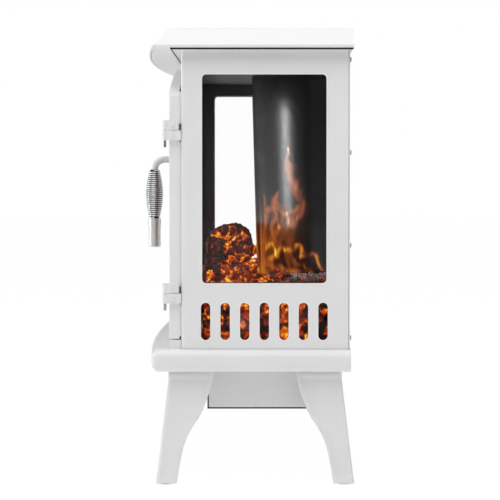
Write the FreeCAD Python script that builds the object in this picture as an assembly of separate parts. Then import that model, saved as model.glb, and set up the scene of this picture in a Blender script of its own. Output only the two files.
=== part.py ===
# A free-standing electric fireplace in the shape of a small cast stove: a painted steel
# cabinet with a glazed door, a window in each side and a fan heater under the base.
# X is the width, Y the depth with the door at -Y, Z is up from the floor. Millimetres.
import FreeCAD, Part
import math
import os

Vec = FreeCAD.Vector
UP = Vec(0, 0, 1)

# ---------------------------------------------------------------- driving dimensions
overall_height = 594.0
cabinet_width = 578.0
cabinet_depth = 220.0
sheet = 1.5                  # painted steel sheet
leg_height = 146.4
base_height = 29.2

cap_overhang = 16.0          # past the cabinet's sides
cap_front_overhang = 35.0    # past the cabinet's front, at the corners
cap_rear_overhang = 4.5
cap_bow = 20.0               # how far the front swells between its corners
cap_height = 27.0
cap_lip = 3.5                # upright lip under the bevel
cap_bevel = 20.0             # how far the top edge stands in from the lip
cap_edge_radius = 4.0
cap_wall = 2.0

base_overhang = 12.0
base_front_overhang = 38.0
base_rear_overhang = 1.0
base_bow = 12.0
base_corner_radius = 10.0
base_nose_radius = 11.0
base_wall = 2.5
base_rim = 14.0              # solid rim left round the hollow under the base

flange = 12.0
panel_edge_radius = 4.0
panel_gap = 0.5              # between neighbouring shell parts

window_depth = 162.0         # side window, along Y
window_height = 272.0
window_sill = 86.0           # bottom of the window above the base
window_radius = 5.0
window_return = 5.5          # lip turned in round the window
window_shift = -1.6          # the window stands a little forward of centre

slot_count = 7
slot_width = 12.2
slot_length = 48.8
slot_pitch = 25.5
slot_sill = 12.0             # bottom of the slots above the base

glass = 4.0
glass_overlap = 9.0
retainer = 3.0
retainer_rim = 5.0           # how far the retainer covers past the glass
liner = 1.2
liner_gap = 2.0

door_thickness = 13.3
door_gap = 2.6               # between the door's back and the cabinet
door_side_inset = 5.0        # door edge inside the cabinet's side
door_bottom_gap = 13.4       # door bottom above the base
door_rise = 46.5             # how far the arch rises
door_crown_drop = 10.5       # crown below the cabinet's top
door_corner_radius = 10.0
door_edge_radius = 2.0
door_stile = 45.0
door_lip = 5.0               # front lip that the glass sits against
door_rebate = 8.0
door_skin = 2.5              # the door is a hollow casting, open at the back
sill_height = 12.0
frame_margin = 34.0          # cabinet front round its opening

pin_radius = 2.0
pin_running = 0.05
knuckle_radius = 3.4
knuckle_height = 12.8
knuckle_split = 0.6
pin_forward = 5.0            # pin axis in front of the door's face
pin_outset = 6.0             # pin axis outside the door's edge
upper_hinge_height = 460.9   # where each hinge splits
lower_hinge_height = 248.6
pin_tail = 9.0               # pin end that shows under the lower leaf

handle_inset = 23.0          # handle from the door's free edge
handle_stand_off = 54.5      # grip axis in front of the door
handle_height = 430.5        # where the handle leaves the door
handle_rod_radius = 5.5
handle_bend = 17.0
grip_length = 79.0
grip_turns = 24
grip_end_radius = 8.5
grip_middle_radius = 14.4
grip_bore_gap = 0.4
collar_length = 11.0
collar_radius = 10.2
end_length = 36.0
end_radius = 9.6

screen_thickness = 3.0
screen_side_gap = 23.8       # from the side liner
screen_apex = -12.0          # foremost line of the flame screen
screen_root = 94.0           # where its sides meet the back
screen_lean = 8.0            # the top stands this much further forward
screen_top_gap = 6.0

ember_wall = 2.5
ember_front = -84.0
ember_rear = 88.0
ember_side_gap = 4.0
ember_foot = 6.0             # bottom of the ember bed above the base

heap_height = 19.0
heap_inset = 8.0             # heap inside the ember bed's edge
heap_front_inset = 4.0
heap_bevel = 9.0
log_gap = 0.5                # air under each log
log_radius = 31.0
log_y = -48.5
log_split = 138.0            # where the two big logs nearly meet, left of the middle
log_split_gap = 10.0
log_right_inset = 28.0
log_left_inset = 6.0
log_skew = 2.0               # how far the logs run out of square
left_log_share = 0.9         # of the big log's radius
twig_radius = 6.2
twig_right = 170.0
twig_left = 40.0
ash_radius = 9.3
ash_side_gap = 2.0
ash_front = 26.0
ash_rear = 84.0

panel_setback = 13.5         # control panel behind the cabinet's front
knob_radius = 11.0
knob_length = 12.0
knob_travel = 270.0
shaft_radius = 3.0
shaft_running = 0.06
control_spacing = 60.0
control_height = 39.0        # above the base
panel_half = 210.0
panel_foot = 10.0            # panel's bottom above the base
panel_top_gap = 3.0          # under the top of the ember bed
knob_taper = 0.86
rib_width = 2.4
rib_rise = 0.8
pot_size = 18.0
pot_depth = 8.0
pot_gap = 0.5
rocker_width = 13.0
rocker_height = 20.0
rocker_gap = 0.5
bezel_wall = 2.0
bezel_rise = 2.5             # bezel in front of the panel
bezel_depth = 8.0            # behind the panel
rocker_travel = 12.0         # degrees, from off to on

housing_inset = 63.0         # inside the cabinet's side
housing_front = -76.0
housing_rear = 84.0
housing_depth = 57.0         # below the base's underside
tray = 2.0                   # black floor under the housing, one piece with the grille
duct_inset = 56.0            # air duct inside the housing's side
duct_front = -20.0
duct_rear = 60.0
duct_lip = 6.0               # intake hole inside the duct
duct_end_lip = 10.0
grille_depth = 6.0
grille_columns = 7
grille_rows = 4
grille_bar = 6.0             # upright bar between two columns
grille_slot = 7.5
grille_pitch = 12.25
grille_foot = 3.5
element_half = 190.0
element_front = -52.0
element_depth = 22.0
element_rail = 4.0
element_clearance = 4.0      # under the lower rail and over the upper one
element_fins = 20
element_pitch = 19.5
fin_width = 9.0
fin_inset = 2.0
cutout_gap = 6.0             # from the element's end
cutout_width = 16.0
cutout_height = 12.0

wheel_radius = 18.0
wheel_half_length = 150.0
wheel_y = 34.0
wheel_blades = 18
wheel_disc = 3.0
blade = 1.0
blade_width = 5.5
blade_inset = 0.5
motor_radius = 20.0
motor_length = 36.0
motor_gap = 6.0              # from the wheel's end disc
motor_foot_width = 28.0
bearing_width = 8.0
bearing_gap = 8.0
bearing_wall = 9.0
axle_past_motor = 14.0
axle_past_bearing = 18.0

spindle_radius = 2.5
spindle_running = 0.06
spindle_half_length = 170.0
spindle_y = 52.0
spindle_height = 70.0        # above the ember bed
paddle_count = 9
paddle_radius = 17.0
paddle_width = 26.0
paddle_pitch = 34.0
paddle_thickness = 1.0
paddle_turn = 40.0           # degrees from one paddle to the next
stand_inset = 12.0           # bearing stand inside the spindle's end
stand_width = 6.0
stand_half_depth = 10.0
small_motor_radius = 14.0
small_motor_length = 18.0
small_motor_overlap = 4.0
small_motor_foot = 12.0

board_thickness = 2.0
lamp_radius = 2.5
lamp_length = 5.0
flame_board_half = 180.0
flame_board_front = 26.0
flame_board_thickness = 4.0
flame_board_height = 22.0
flame_lamps = 12
flame_lamp_pitch = 28.0
ember_board_half = 220.0
ember_board_front = -50.0
ember_board_depth = 30.0
ember_board_height = 26.0    # above the base
ember_lamps = 14
ember_lamp_pitch = 30.0
power_board_left = -230.0
power_board_width = 110.0
power_board_front = 5.0
power_board_depth = 70.0
power_board_height = 14.0

leg_inset = 21.0             # leg's outer corner inside the base's corner, at the top
leg_flare = 17.0             # how far the foot stands out from there
leg_wall = 7.0
foot_height = 5.0
foot_size = 24.0
bolt_radius = 3.0
bolt_clearance = 0.3

bush_inset = 54.0            # cord bush from the cabinet's side
bush_rise = 60.0
bush_radius = 8.0
bush_bore = 4.5

louvre_columns = 9
louvre_rows = 6
louvre_pitch = 44.0
louvre_row_pitch = 13.0
louvre_length = 32.0
louvre_height = 4.0
louvre_sill = 34.0

magnet_height = 330.0
magnet_width = 16.0
magnet_length = 32.0
magnet_thickness = 1.18
magnet_inset = 14.0          # from the frame's flange

screw_radius = 1.6
screw_hole_gap = 0.3
screw_head_radius = 3.4
screw_head = 2.0

# ---------------------------------------------------------------- derived places
half_width = cabinet_width / 2
half_depth = cabinet_depth / 2
base_top = leg_height + base_height
cabinet_top = overall_height - cap_height
cabinet_bottom = base_top + panel_gap
front = -half_depth
rear = half_depth - sheet - panel_gap     # back edge of the side panels
cap_front = front - cap_front_overhang
cap_rear = half_depth + cap_rear_overhang
cap_half = half_width + cap_overhang
base_front = front - base_front_overhang
base_rear = half_depth + base_rear_overhang
base_half = half_width + base_overhang

window_low = base_top + window_sill
window_high = window_low + window_height
window_front = window_shift - window_depth / 2
window_back = window_shift + window_depth / 2

glass_outer = half_width - sheet - window_return
glass_inner = glass_outer - glass
retainer_inner = glass_inner - retainer
liner_outer = retainer_inner - liner_gap
liner_inner = liner_outer - liner

ceiling_height = cabinet_top - 14.0
ember_top = window_low - 4.0
ember_half = liner_inner - ember_side_gap
screen_half_width = liner_inner - screen_side_gap
housing_half_width = half_width - housing_inset
duct_half_width = housing_half_width - duct_inset
bush_x = -(half_width - bush_inset)
bush_z = cabinet_bottom + bush_rise

door_back = front - door_gap
door_front = door_back - door_thickness
door_half = half_width - door_side_inset
door_bottom = base_top + door_bottom_gap
door_crown = cabinet_top - door_crown_drop
door_spring = door_crown - door_rise
door_arc_radius = (door_half ** 2 + door_rise ** 2) / (2 * door_rise)
opening_bottom = door_bottom + door_stile

pin_x = door_half + pin_outset
pin_y = door_front - pin_forward
handle_x = -(door_half - handle_inset)
grip_y = door_front - handle_stand_off

panel_face = front + panel_setback
panel_back = panel_face + sheet
control_z = base_top + control_height
rocker_pivot_y = panel_face + 1.0

leg_top_x = base_half - leg_inset
leg_front_y = base_front + leg_inset
leg_rear_y = base_rear - leg_inset * 0.55
foot_rear_y = leg_rear_y + leg_flare * 0.9

# the row's origin is under the middle of the whole outline
outline_front = grip_y - grip_middle_radius
outline_rear = max(cap_rear, foot_rear_y)
shift_y = -(outline_front + outline_rear) / 2

made = []


# ---------------------------------------------------------------- helpers
def save(name, shape):
    """Moves a finished piece into the row frame and writes it."""
    shape = shape.copy()
    shape.translate(Vec(0, shift_y, 0))
    solids = shape.Solids
    if len(solids) == 1:
        shape = solids[0]
    else:
        shape = Part.makeCompound(solids)
    made.append((name, len(solids), shape.isValid(), shape.Volume))
    shape.exportStep("parts/%s.step" % name)


def block(x0, x1, y0, y1, z0, z1):
    low = Vec(min(x0, x1), min(y0, y1), min(z0, z1))
    return Part.makeBox(abs(x1 - x0), abs(y1 - y0), abs(z1 - z0), low)


def bar(radius, start, end):
    """A round bar from one point to another."""
    run = end.sub(start)
    return Part.makeCylinder(radius, run.Length, start, run)


def mirror_x(shape):
    return shape.mirror(Vec(0, 0, 0), Vec(1, 0, 0))


def round_window(x0, x1, y0, y1, z0, z1, radius):
    """A block along X whose four long edges are rounded."""
    body = block(x0, x1, y0, y1, z0, z1)
    along = [e for e in body.Edges if abs(e.tangentAt(e.FirstParameter).x) > 0.9]
    return body.makeFillet(radius, along)


def bowed_outline(half, y_front, bow, y_rear, z):
    """A rectangle whose front edge swells forward in one arc."""
    a = Vec(-half, y_rear, z)
    b = Vec(-half, y_front, z)
    c = Vec(half, y_front, z)
    d = Vec(half, y_rear, z)
    swell = Part.Arc(b, Vec(0, y_front - bow, z), c).toShape()
    edges = [Part.makeLine(a, b), swell, Part.makeLine(c, d), Part.makeLine(d, a)]
    return Part.Wire(edges)


def bowed_slab(half, y_front, bow, y_rear, z0, z1):
    face = Part.Face(bowed_outline(half, y_front, bow, y_rear, z0))
    return face.extrude(Vec(0, 0, z1 - z0))


def arched_slab(half, z0, spring, crown, y0, y1):
    """A plate in the XZ plane with one arc for its top edge."""
    a = Vec(-half, y0, z0)
    b = Vec(half, y0, z0)
    c = Vec(half, y0, spring)
    d = Vec(-half, y0, spring)
    top = Part.Arc(c, Vec(0, y0, crown), d).toShape()
    edges = [Part.makeLine(a, b), Part.makeLine(b, c), top, Part.makeLine(d, a)]
    return Part.Face(Part.Wire(edges)).extrude(Vec(0, y1 - y0, 0))


def arch_height(half, inset):
    """Spring height of an arch that runs parallel to the door's own, inset inwards."""
    radius = door_arc_radius - inset
    centre = door_crown - door_arc_radius
    return centre + math.sqrt(radius ** 2 - half ** 2)


def screw(point, direction):
    """A pan-head screw: its head stands outside the point, its shank goes the other way."""
    out = Vec(direction).normalize()
    head = Part.makeCylinder(screw_head_radius, screw_head, point, out)
    shank = Part.makeCylinder(screw_radius, 7.0, point, out.negative())
    return head.fuse(shank)


def screw_hole(point, direction, depth=12.0):
    out = Vec(direction).normalize()
    start = point.add(out.multiply(2.0))
    back = Vec(direction).normalize().negative()
    return Part.makeCylinder(screw_radius + screw_hole_gap, depth, start, back)


# ---------------------------------------------------------------- cap and base
def make_cap():
    z_lip = cabinet_top + cap_lip
    lip = bowed_slab(cap_half, cap_front, cap_bow, cap_rear, cabinet_top, z_lip)
    low = bowed_outline(cap_half, cap_front, cap_bow, cap_rear, z_lip)
    high = bowed_outline(cap_half - cap_bevel, cap_front + cap_bevel, cap_bow, cap_rear,
                         overall_height)
    bevel = Part.makeLoft([low, high], True, True)
    top_edges = []
    for edge in bevel.Edges:
        box = edge.BoundBox
        if box.ZMin > overall_height - 0.01 and box.YMin < cap_rear - 1:
            top_edges.append(edge)
    bevel = bevel.makeFillet(cap_edge_radius, top_edges)
    outer = lip.fuse(bevel).removeSplitter()
    inner_half = cap_half - cap_wall
    inner_front = cap_front + cap_wall
    inner_rear = cap_rear - cap_wall
    hollow_lip = bowed_slab(inner_half, inner_front, cap_bow, inner_rear, cabinet_top - 1,
                            z_lip)
    hollow_top = overall_height - cap_wall
    inset = cap_bevel * (hollow_top - z_lip) / (overall_height - z_lip)
    hollow = Part.makeLoft(
        [bowed_outline(inner_half, inner_front, cap_bow, inner_rear, z_lip),
         bowed_outline(inner_half - inset, inner_front + inset, cap_bow, inner_rear,
                       hollow_top)], True, True)
    save("top_cap", outer.cut(hollow_lip.fuse(hollow)))
    plate_half = inner_half - panel_gap
    plate = bowed_slab(plate_half, inner_front + panel_gap, cap_bow,
                       inner_rear - panel_gap, cabinet_top, cabinet_top + sheet)
    save("cap_underplate", plate)


def make_base():
    slab = bowed_slab(base_half, base_front, base_bow, base_rear, leg_height, base_top)
    corners = []
    for edge in slab.Edges:
        box = edge.BoundBox
        if box.ZLength > base_height - 0.1 and box.YMin < 0:
            corners.append(edge)
    slab = slab.makeFillet(base_corner_radius, corners)
    nose = []
    for edge in slab.Edges:
        box = edge.BoundBox
        if box.ZLength < 0.01 and box.YMin < base_rear - 1:
            nose.append(edge)
    slab = slab.makeFillet(base_nose_radius, nose)
    hollow = bowed_slab(base_half - base_rim, base_front + base_rim, base_bow,
                        base_rear - base_rim, leg_height - 1, base_top - base_wall)
    slab = slab.cut(hollow)
    # the corners stay solid, to take the leg bolts
    for x, y in leg_bolt_points():
        boss = Part.makeCylinder(9.0, base_height - base_wall, Vec(x, y, leg_height))
        slab = slab.fuse(boss)
    for x, y in leg_bolt_points():
        hole = Part.makeCylinder(bolt_radius, base_height - base_wall - 4.0,
                                 Vec(x, y, leg_height))
        slab = slab.cut(hole)
    duct = block(-duct_half_width, duct_half_width, duct_front, duct_rear, leg_height,
                 base_top + 1)
    save("base_moulding", slab.cut(duct))


def leg_bolt_points():
    inset = 26.0
    x = leg_top_x - inset
    return [(x, leg_front_y + inset), (-x, leg_front_y + inset),
            (x, leg_rear_y - inset), (-x, leg_rear_y - inset)]


def leg_section(z, out, width):
    """The leg's angle section at one height, with its outer corner at (out, out)."""
    inner = out - width
    step = out - leg_wall
    points = [(out, out), (inner, out), (inner, step), (step, step), (step, inner),
              (out, inner)]
    return Part.makePolygon([Vec(x, y, z) for x, y in points + [points[0]]])


def leg_blank():
    """One cabriole leg, with its corner pointing to +X +Y and its top corner at 0, 0."""
    outward = leg_flare / leg_height
    # height as a share of the leg, width of each face
    stations = [(1.0, 60.0), (0.84, 57.0), (0.70, 52.5), (0.60, 47.5), (0.50, 39.0),
                (0.40, 33.0), (0.30, 30.0), (0.15, 28.0), (foot_height / leg_height, 27.5)]
    sections = []
    for share, width in stations:
        z = leg_height * share
        sections.append(leg_section(z, outward * (leg_height - z), width))
    leg = Part.makeLoft(sections, True, False)
    web = block(-46.0, -leg_wall + 0.5, -46.0, -leg_wall + 0.5, leg_height - 5.0, leg_height)
    corner = Part.makePolygon([Vec(-47, -20, 0), Vec(-47, -47, 0), Vec(-20, -47, 0),
                               Vec(-47, -20, 0)])
    cut = Part.Face(corner).extrude(Vec(0, 0, leg_height + 1))
    return leg.fuse(web.cut(cut))


def make_legs():
    pads = []
    bolts = []
    foot = leg_flare - foot_size / 2 - 1.5
    stem = Part.makeCylinder(bolt_radius + bolt_clearance, 12.0, Vec(-26, -26, leg_height - 8))
    blank = leg_blank().cut(stem)
    heel = block(foot - foot_size / 2 + 1.5, leg_flare, foot - foot_size / 2 + 1.5, leg_flare,
                 foot_height, foot_height + 4.0)
    blank = blank.fuse(heel)
    pad = Part.makeCylinder(foot_size / 2 - 1.0, foot_height, Vec(foot, foot, 0))
    bolt = Part.makeCylinder(bolt_radius - 0.02, 24.0, Vec(-26, -26, leg_height - 5.0))
    bolt_head = Part.makeCylinder(bolt_radius * 1.9, 4.0, Vec(-26, -26, leg_height - 9.0))
    bolt = bolt.fuse(bolt_head)
    places = [("leg_front_right", 1, -1, leg_front_y), ("leg_front_left", -1, -1, leg_front_y),
              ("leg_rear_right", 1, 1, leg_rear_y), ("leg_rear_left", -1, 1, leg_rear_y)]
    for name, side, end, y in places:
        moved = []
        for piece in (blank, pad, bolt):
            if end < 0:
                piece = piece.mirror(Vec(0, 0, 0), Vec(0, 1, 0))
            if side < 0:
                piece = mirror_x(piece)
            piece = piece.copy()
            piece.translate(Vec(side * leg_top_x, y, 0))
            moved.append(piece)
        save(name, moved[0])
        pads.append(moved[1])
        bolts.append(moved[2])
    save("foot_pads", Part.makeCompound(pads))
    save("leg_bolts", Part.makeCompound(bolts))


# ---------------------------------------------------------------- cabinet shell
def rear_screw_points():
    """Screws along both upright edges of the rear cover."""
    x = half_width - flange / 2
    heights = []
    for step in range(4):
        heights.append(cabinet_bottom + 14.0 + step * (cabinet_top - cabinet_bottom - 28) / 3)
    return [(side * x, z) for side in (-1, 1) for z in heights]


def side_panel():
    """The right side panel: a shallow tray with a window and a row of air slots."""
    outer = block(half_width - flange, half_width, front, rear, cabinet_bottom, cabinet_top)
    edges = []
    for edge in outer.Edges:
        box = edge.BoundBox
        if box.ZLength > 100 and box.XMin > half_width - 1 and box.YMin < 0:
            edges.append(edge)
    outer = outer.makeFillet(panel_edge_radius, edges)
    hollow = block(half_width - flange - 1, half_width - sheet, front + sheet, rear - sheet,
                   cabinet_bottom + sheet, cabinet_top - sheet)
    edges = []
    for edge in hollow.Edges:
        box = edge.BoundBox
        if box.ZLength > 100 and box.XMin > half_width - sheet - 1 and box.YMin < 0:
            edges.append(edge)
    hollow = hollow.makeFillet(panel_edge_radius - sheet, edges)
    tray = outer.cut(hollow)
    lip = round_window(glass_outer, half_width - sheet, window_front - sheet,
                       window_back + sheet, window_low - sheet, window_high + sheet,
                       window_radius + sheet)
    tray = tray.fuse(lip)
    hole = round_window(glass_outer - 1, half_width + 1, window_front, window_back,
                        window_low, window_high, window_radius)
    tray = tray.cut(hole)
    for index in range(slot_count):
        middle = window_shift + (index - (slot_count - 1) / 2) * slot_pitch
        low = base_top + slot_sill
        slot = round_window(half_width - 3, half_width + 1, middle - slot_width / 2,
                            middle + slot_width / 2, low, low + slot_length,
                            slot_width / 2 - 0.01)
        tray = tray.cut(slot)
    for x, z in rear_screw_points():
        if x > 0:
            tray = tray.cut(screw_hole(Vec(x, half_depth, z), Vec(0, 1, 0)))
    return tray


def make_shell():
    panel = side_panel()
    save("side_panel_right", panel)
    save("side_panel_left", mirror_x(panel))
    inner = half_width - flange - panel_gap
    frame = block(-inner, inner, front, front + sheet, cabinet_bottom, cabinet_top)
    half = door_half - frame_margin
    spring = arch_height(half, frame_margin)
    mouth = arched_slab(half, opening_bottom, spring, door_crown - frame_margin,
                        front - 1, front + 4)
    niche = block(-half, half, front - 1, front + 4, base_top + sill_height + 4.0,
                  opening_bottom + 1)
    save("front_frame", frame.cut(mouth).cut(niche))
    cover_front = half_depth - sheet
    cover = block(-half_width + 1, half_width - 1, cover_front, half_depth,
                  cabinet_bottom + 1, cabinet_top - panel_gap)
    for row in range(louvre_rows):
        for column in range(louvre_columns):
            x = (column - (louvre_columns - 1) / 2) * louvre_pitch
            z = cabinet_bottom + louvre_sill + row * louvre_row_pitch
            slot = block(x - louvre_length / 2, x + louvre_length / 2, cover_front - 1,
                         half_depth + 1, z, z + louvre_height)
            cover = cover.cut(slot)
    bush_point = Vec(bush_x, cover_front - 1, bush_z)
    cover = cover.cut(Part.makeCylinder(bush_radius, 5, bush_point, Vec(0, 1, 0)))
    screws = []
    for x, z in rear_screw_points():
        point = Vec(x, half_depth, z)
        cover = cover.cut(screw_hole(point, Vec(0, 1, 0)))
        screws.append(screw(point, Vec(0, 1, 0)))
    save("rear_cover", cover)
    save("rear_cover_screws", Part.makeCompound(screws))
    inside = Part.makeCylinder(bush_radius + 2, 4, Vec(bush_x, cover_front - 4, bush_z),
                               Vec(0, 1, 0))
    neck = Part.makeCylinder(bush_radius, sheet + 4, Vec(bush_x, cover_front - 2, bush_z),
                             Vec(0, 1, 0))
    collar = Part.makeCylinder(bush_radius + 2, 2, Vec(bush_x, half_depth, bush_z),
                               Vec(0, 1, 0))
    bore = Part.makeCylinder(bush_bore, 20, Vec(bush_x, cover_front - 10, bush_z),
                             Vec(0, 1, 0))
    save("cord_bush", inside.fuse(neck).fuse(collar).cut(bore))



def make_side_glazing():
    grow = glass_overlap
    pane = round_window(glass_inner, glass_outer, window_front - grow, window_back + grow,
                        window_low - grow, window_high + grow, window_radius)
    grow = glass_overlap + retainer_rim
    ring = round_window(retainer_inner, glass_inner, window_front - grow,
                        window_back + grow, window_low - grow, window_high + grow,
                        window_radius)
    view = round_window(retainer_inner - 1, glass_inner + 1, window_front - 3,
                        window_back + 3, window_low - 3, window_high + 3, window_radius)
    ring = ring.cut(view)
    plate = block(liner_inner, liner_outer, front + 4, rear - 3, ember_top, ceiling_height)
    view = round_window(liner_inner - 1, liner_outer + 1, window_front - 2, window_back + 2,
                        window_low + 0.5, window_high + 2, window_radius)
    plate = plate.cut(view)
    for label, side in (("right", 1), ("left", -1)):
        for name, shape in (("side_glass_", pane), ("glass_retainer_", ring),
                            ("side_liner_", plate)):
            save(name + label, shape if side > 0 else mirror_x(shape))
    ceiling = block(-half_width + flange + 1, half_width - flange - 1, front + 3, rear - 3,
                    ceiling_height, ceiling_height + liner)
    save("firebox_ceiling", ceiling)


# ---------------------------------------------------------------- fire effect
def screen_section(z, lean):
    """Half an ellipse in plan, closed by a parallel inner one."""
    arcs = []
    for grow in (0.0, -screen_thickness):
        half = screen_half_width + grow
        depth = screen_root - screen_apex + lean + grow
        ellipse = Part.Ellipse(Vec(0, screen_root, z), half, depth)
        arcs.append(Part.ArcOfEllipse(ellipse, math.pi, 2 * math.pi).toShape())
    outer, inner = arcs
    a = Part.makeLine(outer.valueAt(outer.LastParameter), inner.valueAt(inner.LastParameter))
    b = Part.makeLine(inner.valueAt(inner.FirstParameter), outer.valueAt(outer.FirstParameter))
    return Part.Wire(Part.sortEdges([outer, a, inner, b])[0])


def make_screen():
    low = screen_section(ember_top, 0.0)
    high = screen_section(ceiling_height - screen_top_gap, screen_lean)
    save("flame_screen", Part.makeLoft([low, high], True, True))


def log_shape(radius, start, end, taper):
    """A tapered branch between two points, cut square at both ends."""
    run = end.sub(start)
    return Part.makeCone(radius, radius * taper, run.Length, start, run)


def make_fire():
    bed_low = base_top + ember_foot
    shell = block(-ember_half, ember_half, ember_front, ember_rear, bed_low, ember_top)
    inner = ember_half - ember_wall
    hollow = block(-inner, inner, ember_front + ember_wall, ember_rear - ember_wall,
                   bed_low - 1, ember_top - ember_wall)
    save("ember_bed", shell.cut(hollow))
    heap_half = ember_half - heap_inset
    heap_top = ember_top + heap_height
    heap = block(-heap_half, heap_half, ember_front + heap_front_inset,
                 screen_apex - heap_inset, ember_top, heap_top)
    upper = [e for e in heap.Edges if e.BoundBox.ZMin > heap_top - 1]
    save("coal_heap", heap.makeChamfer(heap_bevel, upper))
    top = heap_top + log_gap
    big = log_radius
    save("log_front", log_shape(big, Vec(ember_half - log_right_inset, log_y, top + big),
                                Vec(-log_split, log_y - log_skew, top + big * 0.86), 0.85))
    left = log_radius * left_log_share
    save("log_left", log_shape(left, Vec(-ember_half + log_left_inset, log_y, top + left),
                               Vec(-log_split - log_split_gap, log_y - 1.5 * log_skew,
                                   top + big * 0.8), 0.88))
    twig_y = log_y - log_radius + log_skew
    save("log_small", log_shape(twig_radius, Vec(twig_right, twig_y, top + twig_radius),
                                Vec(twig_left, twig_y + 1, top + twig_radius), 0.8))
    ash_x = ember_half - ash_radius - ash_side_gap
    save("log_ash", log_shape(ash_radius, Vec(ash_x, ash_rear, ember_top + ash_radius + log_gap),
                              Vec(ash_x, ash_front, ember_top + ash_radius), 0.85))


def lamp_row(count, pitch, y, z, direction):
    """Small lamps in a row along X."""
    lamps = []
    for index in range(count):
        x = (index - (count - 1) / 2) * pitch
        lamps.append(Part.makeCylinder(lamp_radius, lamp_length, Vec(x, y, z), direction))
    return lamps


def make_flame_mechanism():
    z = ember_top + spindle_height
    spindle = bar(spindle_radius, Vec(-spindle_half_length, spindle_y, z),
                  Vec(spindle_half_length, spindle_y, z))
    for index in range(paddle_count):
        x = (index - (paddle_count - 1) / 2) * paddle_pitch
        paddle = block(x - paddle_width / 2, x + paddle_width / 2, spindle_y - paddle_radius,
                       spindle_y + paddle_radius, z - paddle_thickness / 2,
                       z + paddle_thickness / 2)
        paddle.rotate(Vec(0, spindle_y, z), Vec(1, 0, 0), paddle_turn * index)
        spindle = spindle.fuse(paddle)
    save("flicker_spindle", spindle)
    hole = bar(spindle_radius + spindle_running, Vec(-half_width, spindle_y, z),
               Vec(half_width, spindle_y, z))
    near = spindle_half_length - stand_inset
    right = block(near, near + stand_width, spindle_y - stand_half_depth,
                  spindle_y + stand_half_depth, ember_top, z + stand_half_depth)
    left = block(-near - stand_width, -near, spindle_y - stand_half_depth,
                 spindle_y + stand_half_depth, ember_top, z + stand_half_depth)
    save("spindle_bearings", Part.makeCompound([right.cut(hole), left.cut(hole)]))
    motor_x = spindle_half_length - small_motor_overlap
    motor = bar(small_motor_radius, Vec(motor_x, spindle_y, z),
                Vec(motor_x + small_motor_length, spindle_y, z))
    foot = block(motor_x, motor_x + small_motor_foot, spindle_y - small_motor_foot,
                 spindle_y + small_motor_foot, ember_top, z)
    save("flicker_motor", motor.fuse(foot).cut(hole))
    board_back = flame_board_front + flame_board_thickness
    board = block(-flame_board_half, flame_board_half, flame_board_front, board_back, ember_top,
                  ember_top + flame_board_height)
    lamp_z = ember_top + flame_board_height * 0.64
    lamps = lamp_row(flame_lamps, flame_lamp_pitch, board_back, lamp_z, Vec(0, 1, 0))
    save("flame_light_board", board.multiFuse(lamps))
    board_z = base_top + ember_board_height
    board = block(-ember_board_half, ember_board_half, ember_board_front,
                  ember_board_front + ember_board_depth, board_z, board_z + board_thickness)
    lamp_y = ember_board_front + ember_board_depth / 2
    lamps = lamp_row(ember_lamps, ember_lamp_pitch, lamp_y, board_z + board_thickness, UP)
    save("ember_light_board", board.multiFuse(lamps))
    x = power_board_left
    y = power_board_front
    z = base_top + power_board_height
    board = block(x, x + power_board_width, y, y + power_board_depth, z, z + board_thickness)
    z = z + board_thickness
    # a transformer, a relay, two capacitors and a terminal strip
    parts = [block(x + 8, x + 34, y + 9, y + 35, z, z + 22),
             block(x + 44, x + 58, y + 9, y + 29, z, z + 14),
             Part.makeCylinder(6, 20, Vec(x + 80, y + 25, z)),
             Part.makeCylinder(5, 16, Vec(x + 96, y + 47, z)),
             block(x + 16, x + 80, y + 47, y + 61, z, z + 11)]
    save("power_board", board.multiFuse(parts))


# ---------------------------------------------------------------- controls
def make_controls():
    plate = block(-panel_half, panel_half, panel_face, panel_back, base_top + panel_foot,
                  ember_top - panel_top_gap)
    knob_places = [("thermostat_knob", -1.5 * control_spacing),
                   ("flame_knob", 1.5 * control_spacing)]
    pots = []
    for name, x in knob_places:
        back = Vec(0, 1, 0)
        hole = Part.makeCylinder(shaft_radius + shaft_running, sheet + 4,
                                 Vec(x, panel_face - 2, control_z), back)
        plate = plate.cut(hole)
        knob_face = panel_face - knob_length
        knob = Part.makeCone(knob_radius * knob_taper, knob_radius, knob_length - 1,
                             Vec(x, knob_face, control_z), back)
        rib = block(x - rib_width / 2, x + rib_width / 2, knob_face - rib_rise, knob_face + 2,
                    control_z - 1, control_z + knob_radius * 0.8)
        shaft = Part.makeCylinder(shaft_radius, knob_length + sheet + 1,
                                  Vec(x, knob_face, control_z), back)
        knob = knob.fuse(rib).fuse(shaft)
        knob.rotate(Vec(x, panel_face, control_z), back, -knob_travel / 2)
        save(name, knob)
        half = pot_size / 2
        pot = block(x - half, x + half, panel_back, panel_back + pot_depth, control_z - half,
                    control_z + half)
        bore = Part.makeCylinder(shaft_radius + pot_gap, pot_depth - 3,
                                 Vec(x, panel_back, control_z), back)
        pots.append(pot.cut(bore))
    save("control_pots", Part.makeCompound(pots))
    bezels = []
    for name, x in (("power_rocker", -control_spacing / 2), ("heat_rocker", control_spacing / 2)):
        well = switch_block(x, rocker_gap, panel_face - bezel_rise - 0.5,
                            panel_back + bezel_depth - bezel_wall)
        outer = rocker_gap + bezel_wall
        bezel = switch_block(x, outer, panel_face - bezel_rise, panel_back + bezel_depth)
        plate = plate.cut(switch_block(x, outer, panel_face - 1, panel_back + 1))
        bezels.append(bezel.cut(well))
        key = rocker(x)
        key.rotate(Vec(x, rocker_pivot_y, control_z), Vec(1, 0, 0), -rocker_travel / 2)
        save(name, key)
    save("switch_bezels", Part.makeCompound(bezels))
    save("control_panel", plate)


def switch_block(x, margin, y0, y1):
    """A block round a rocker's outline, larger by a margin on every side."""
    half_w = rocker_width / 2 + margin
    half_h = rocker_height / 2 + margin
    return block(x - half_w, x + half_w, y0, y1, control_z - half_h, control_z + half_h)


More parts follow.
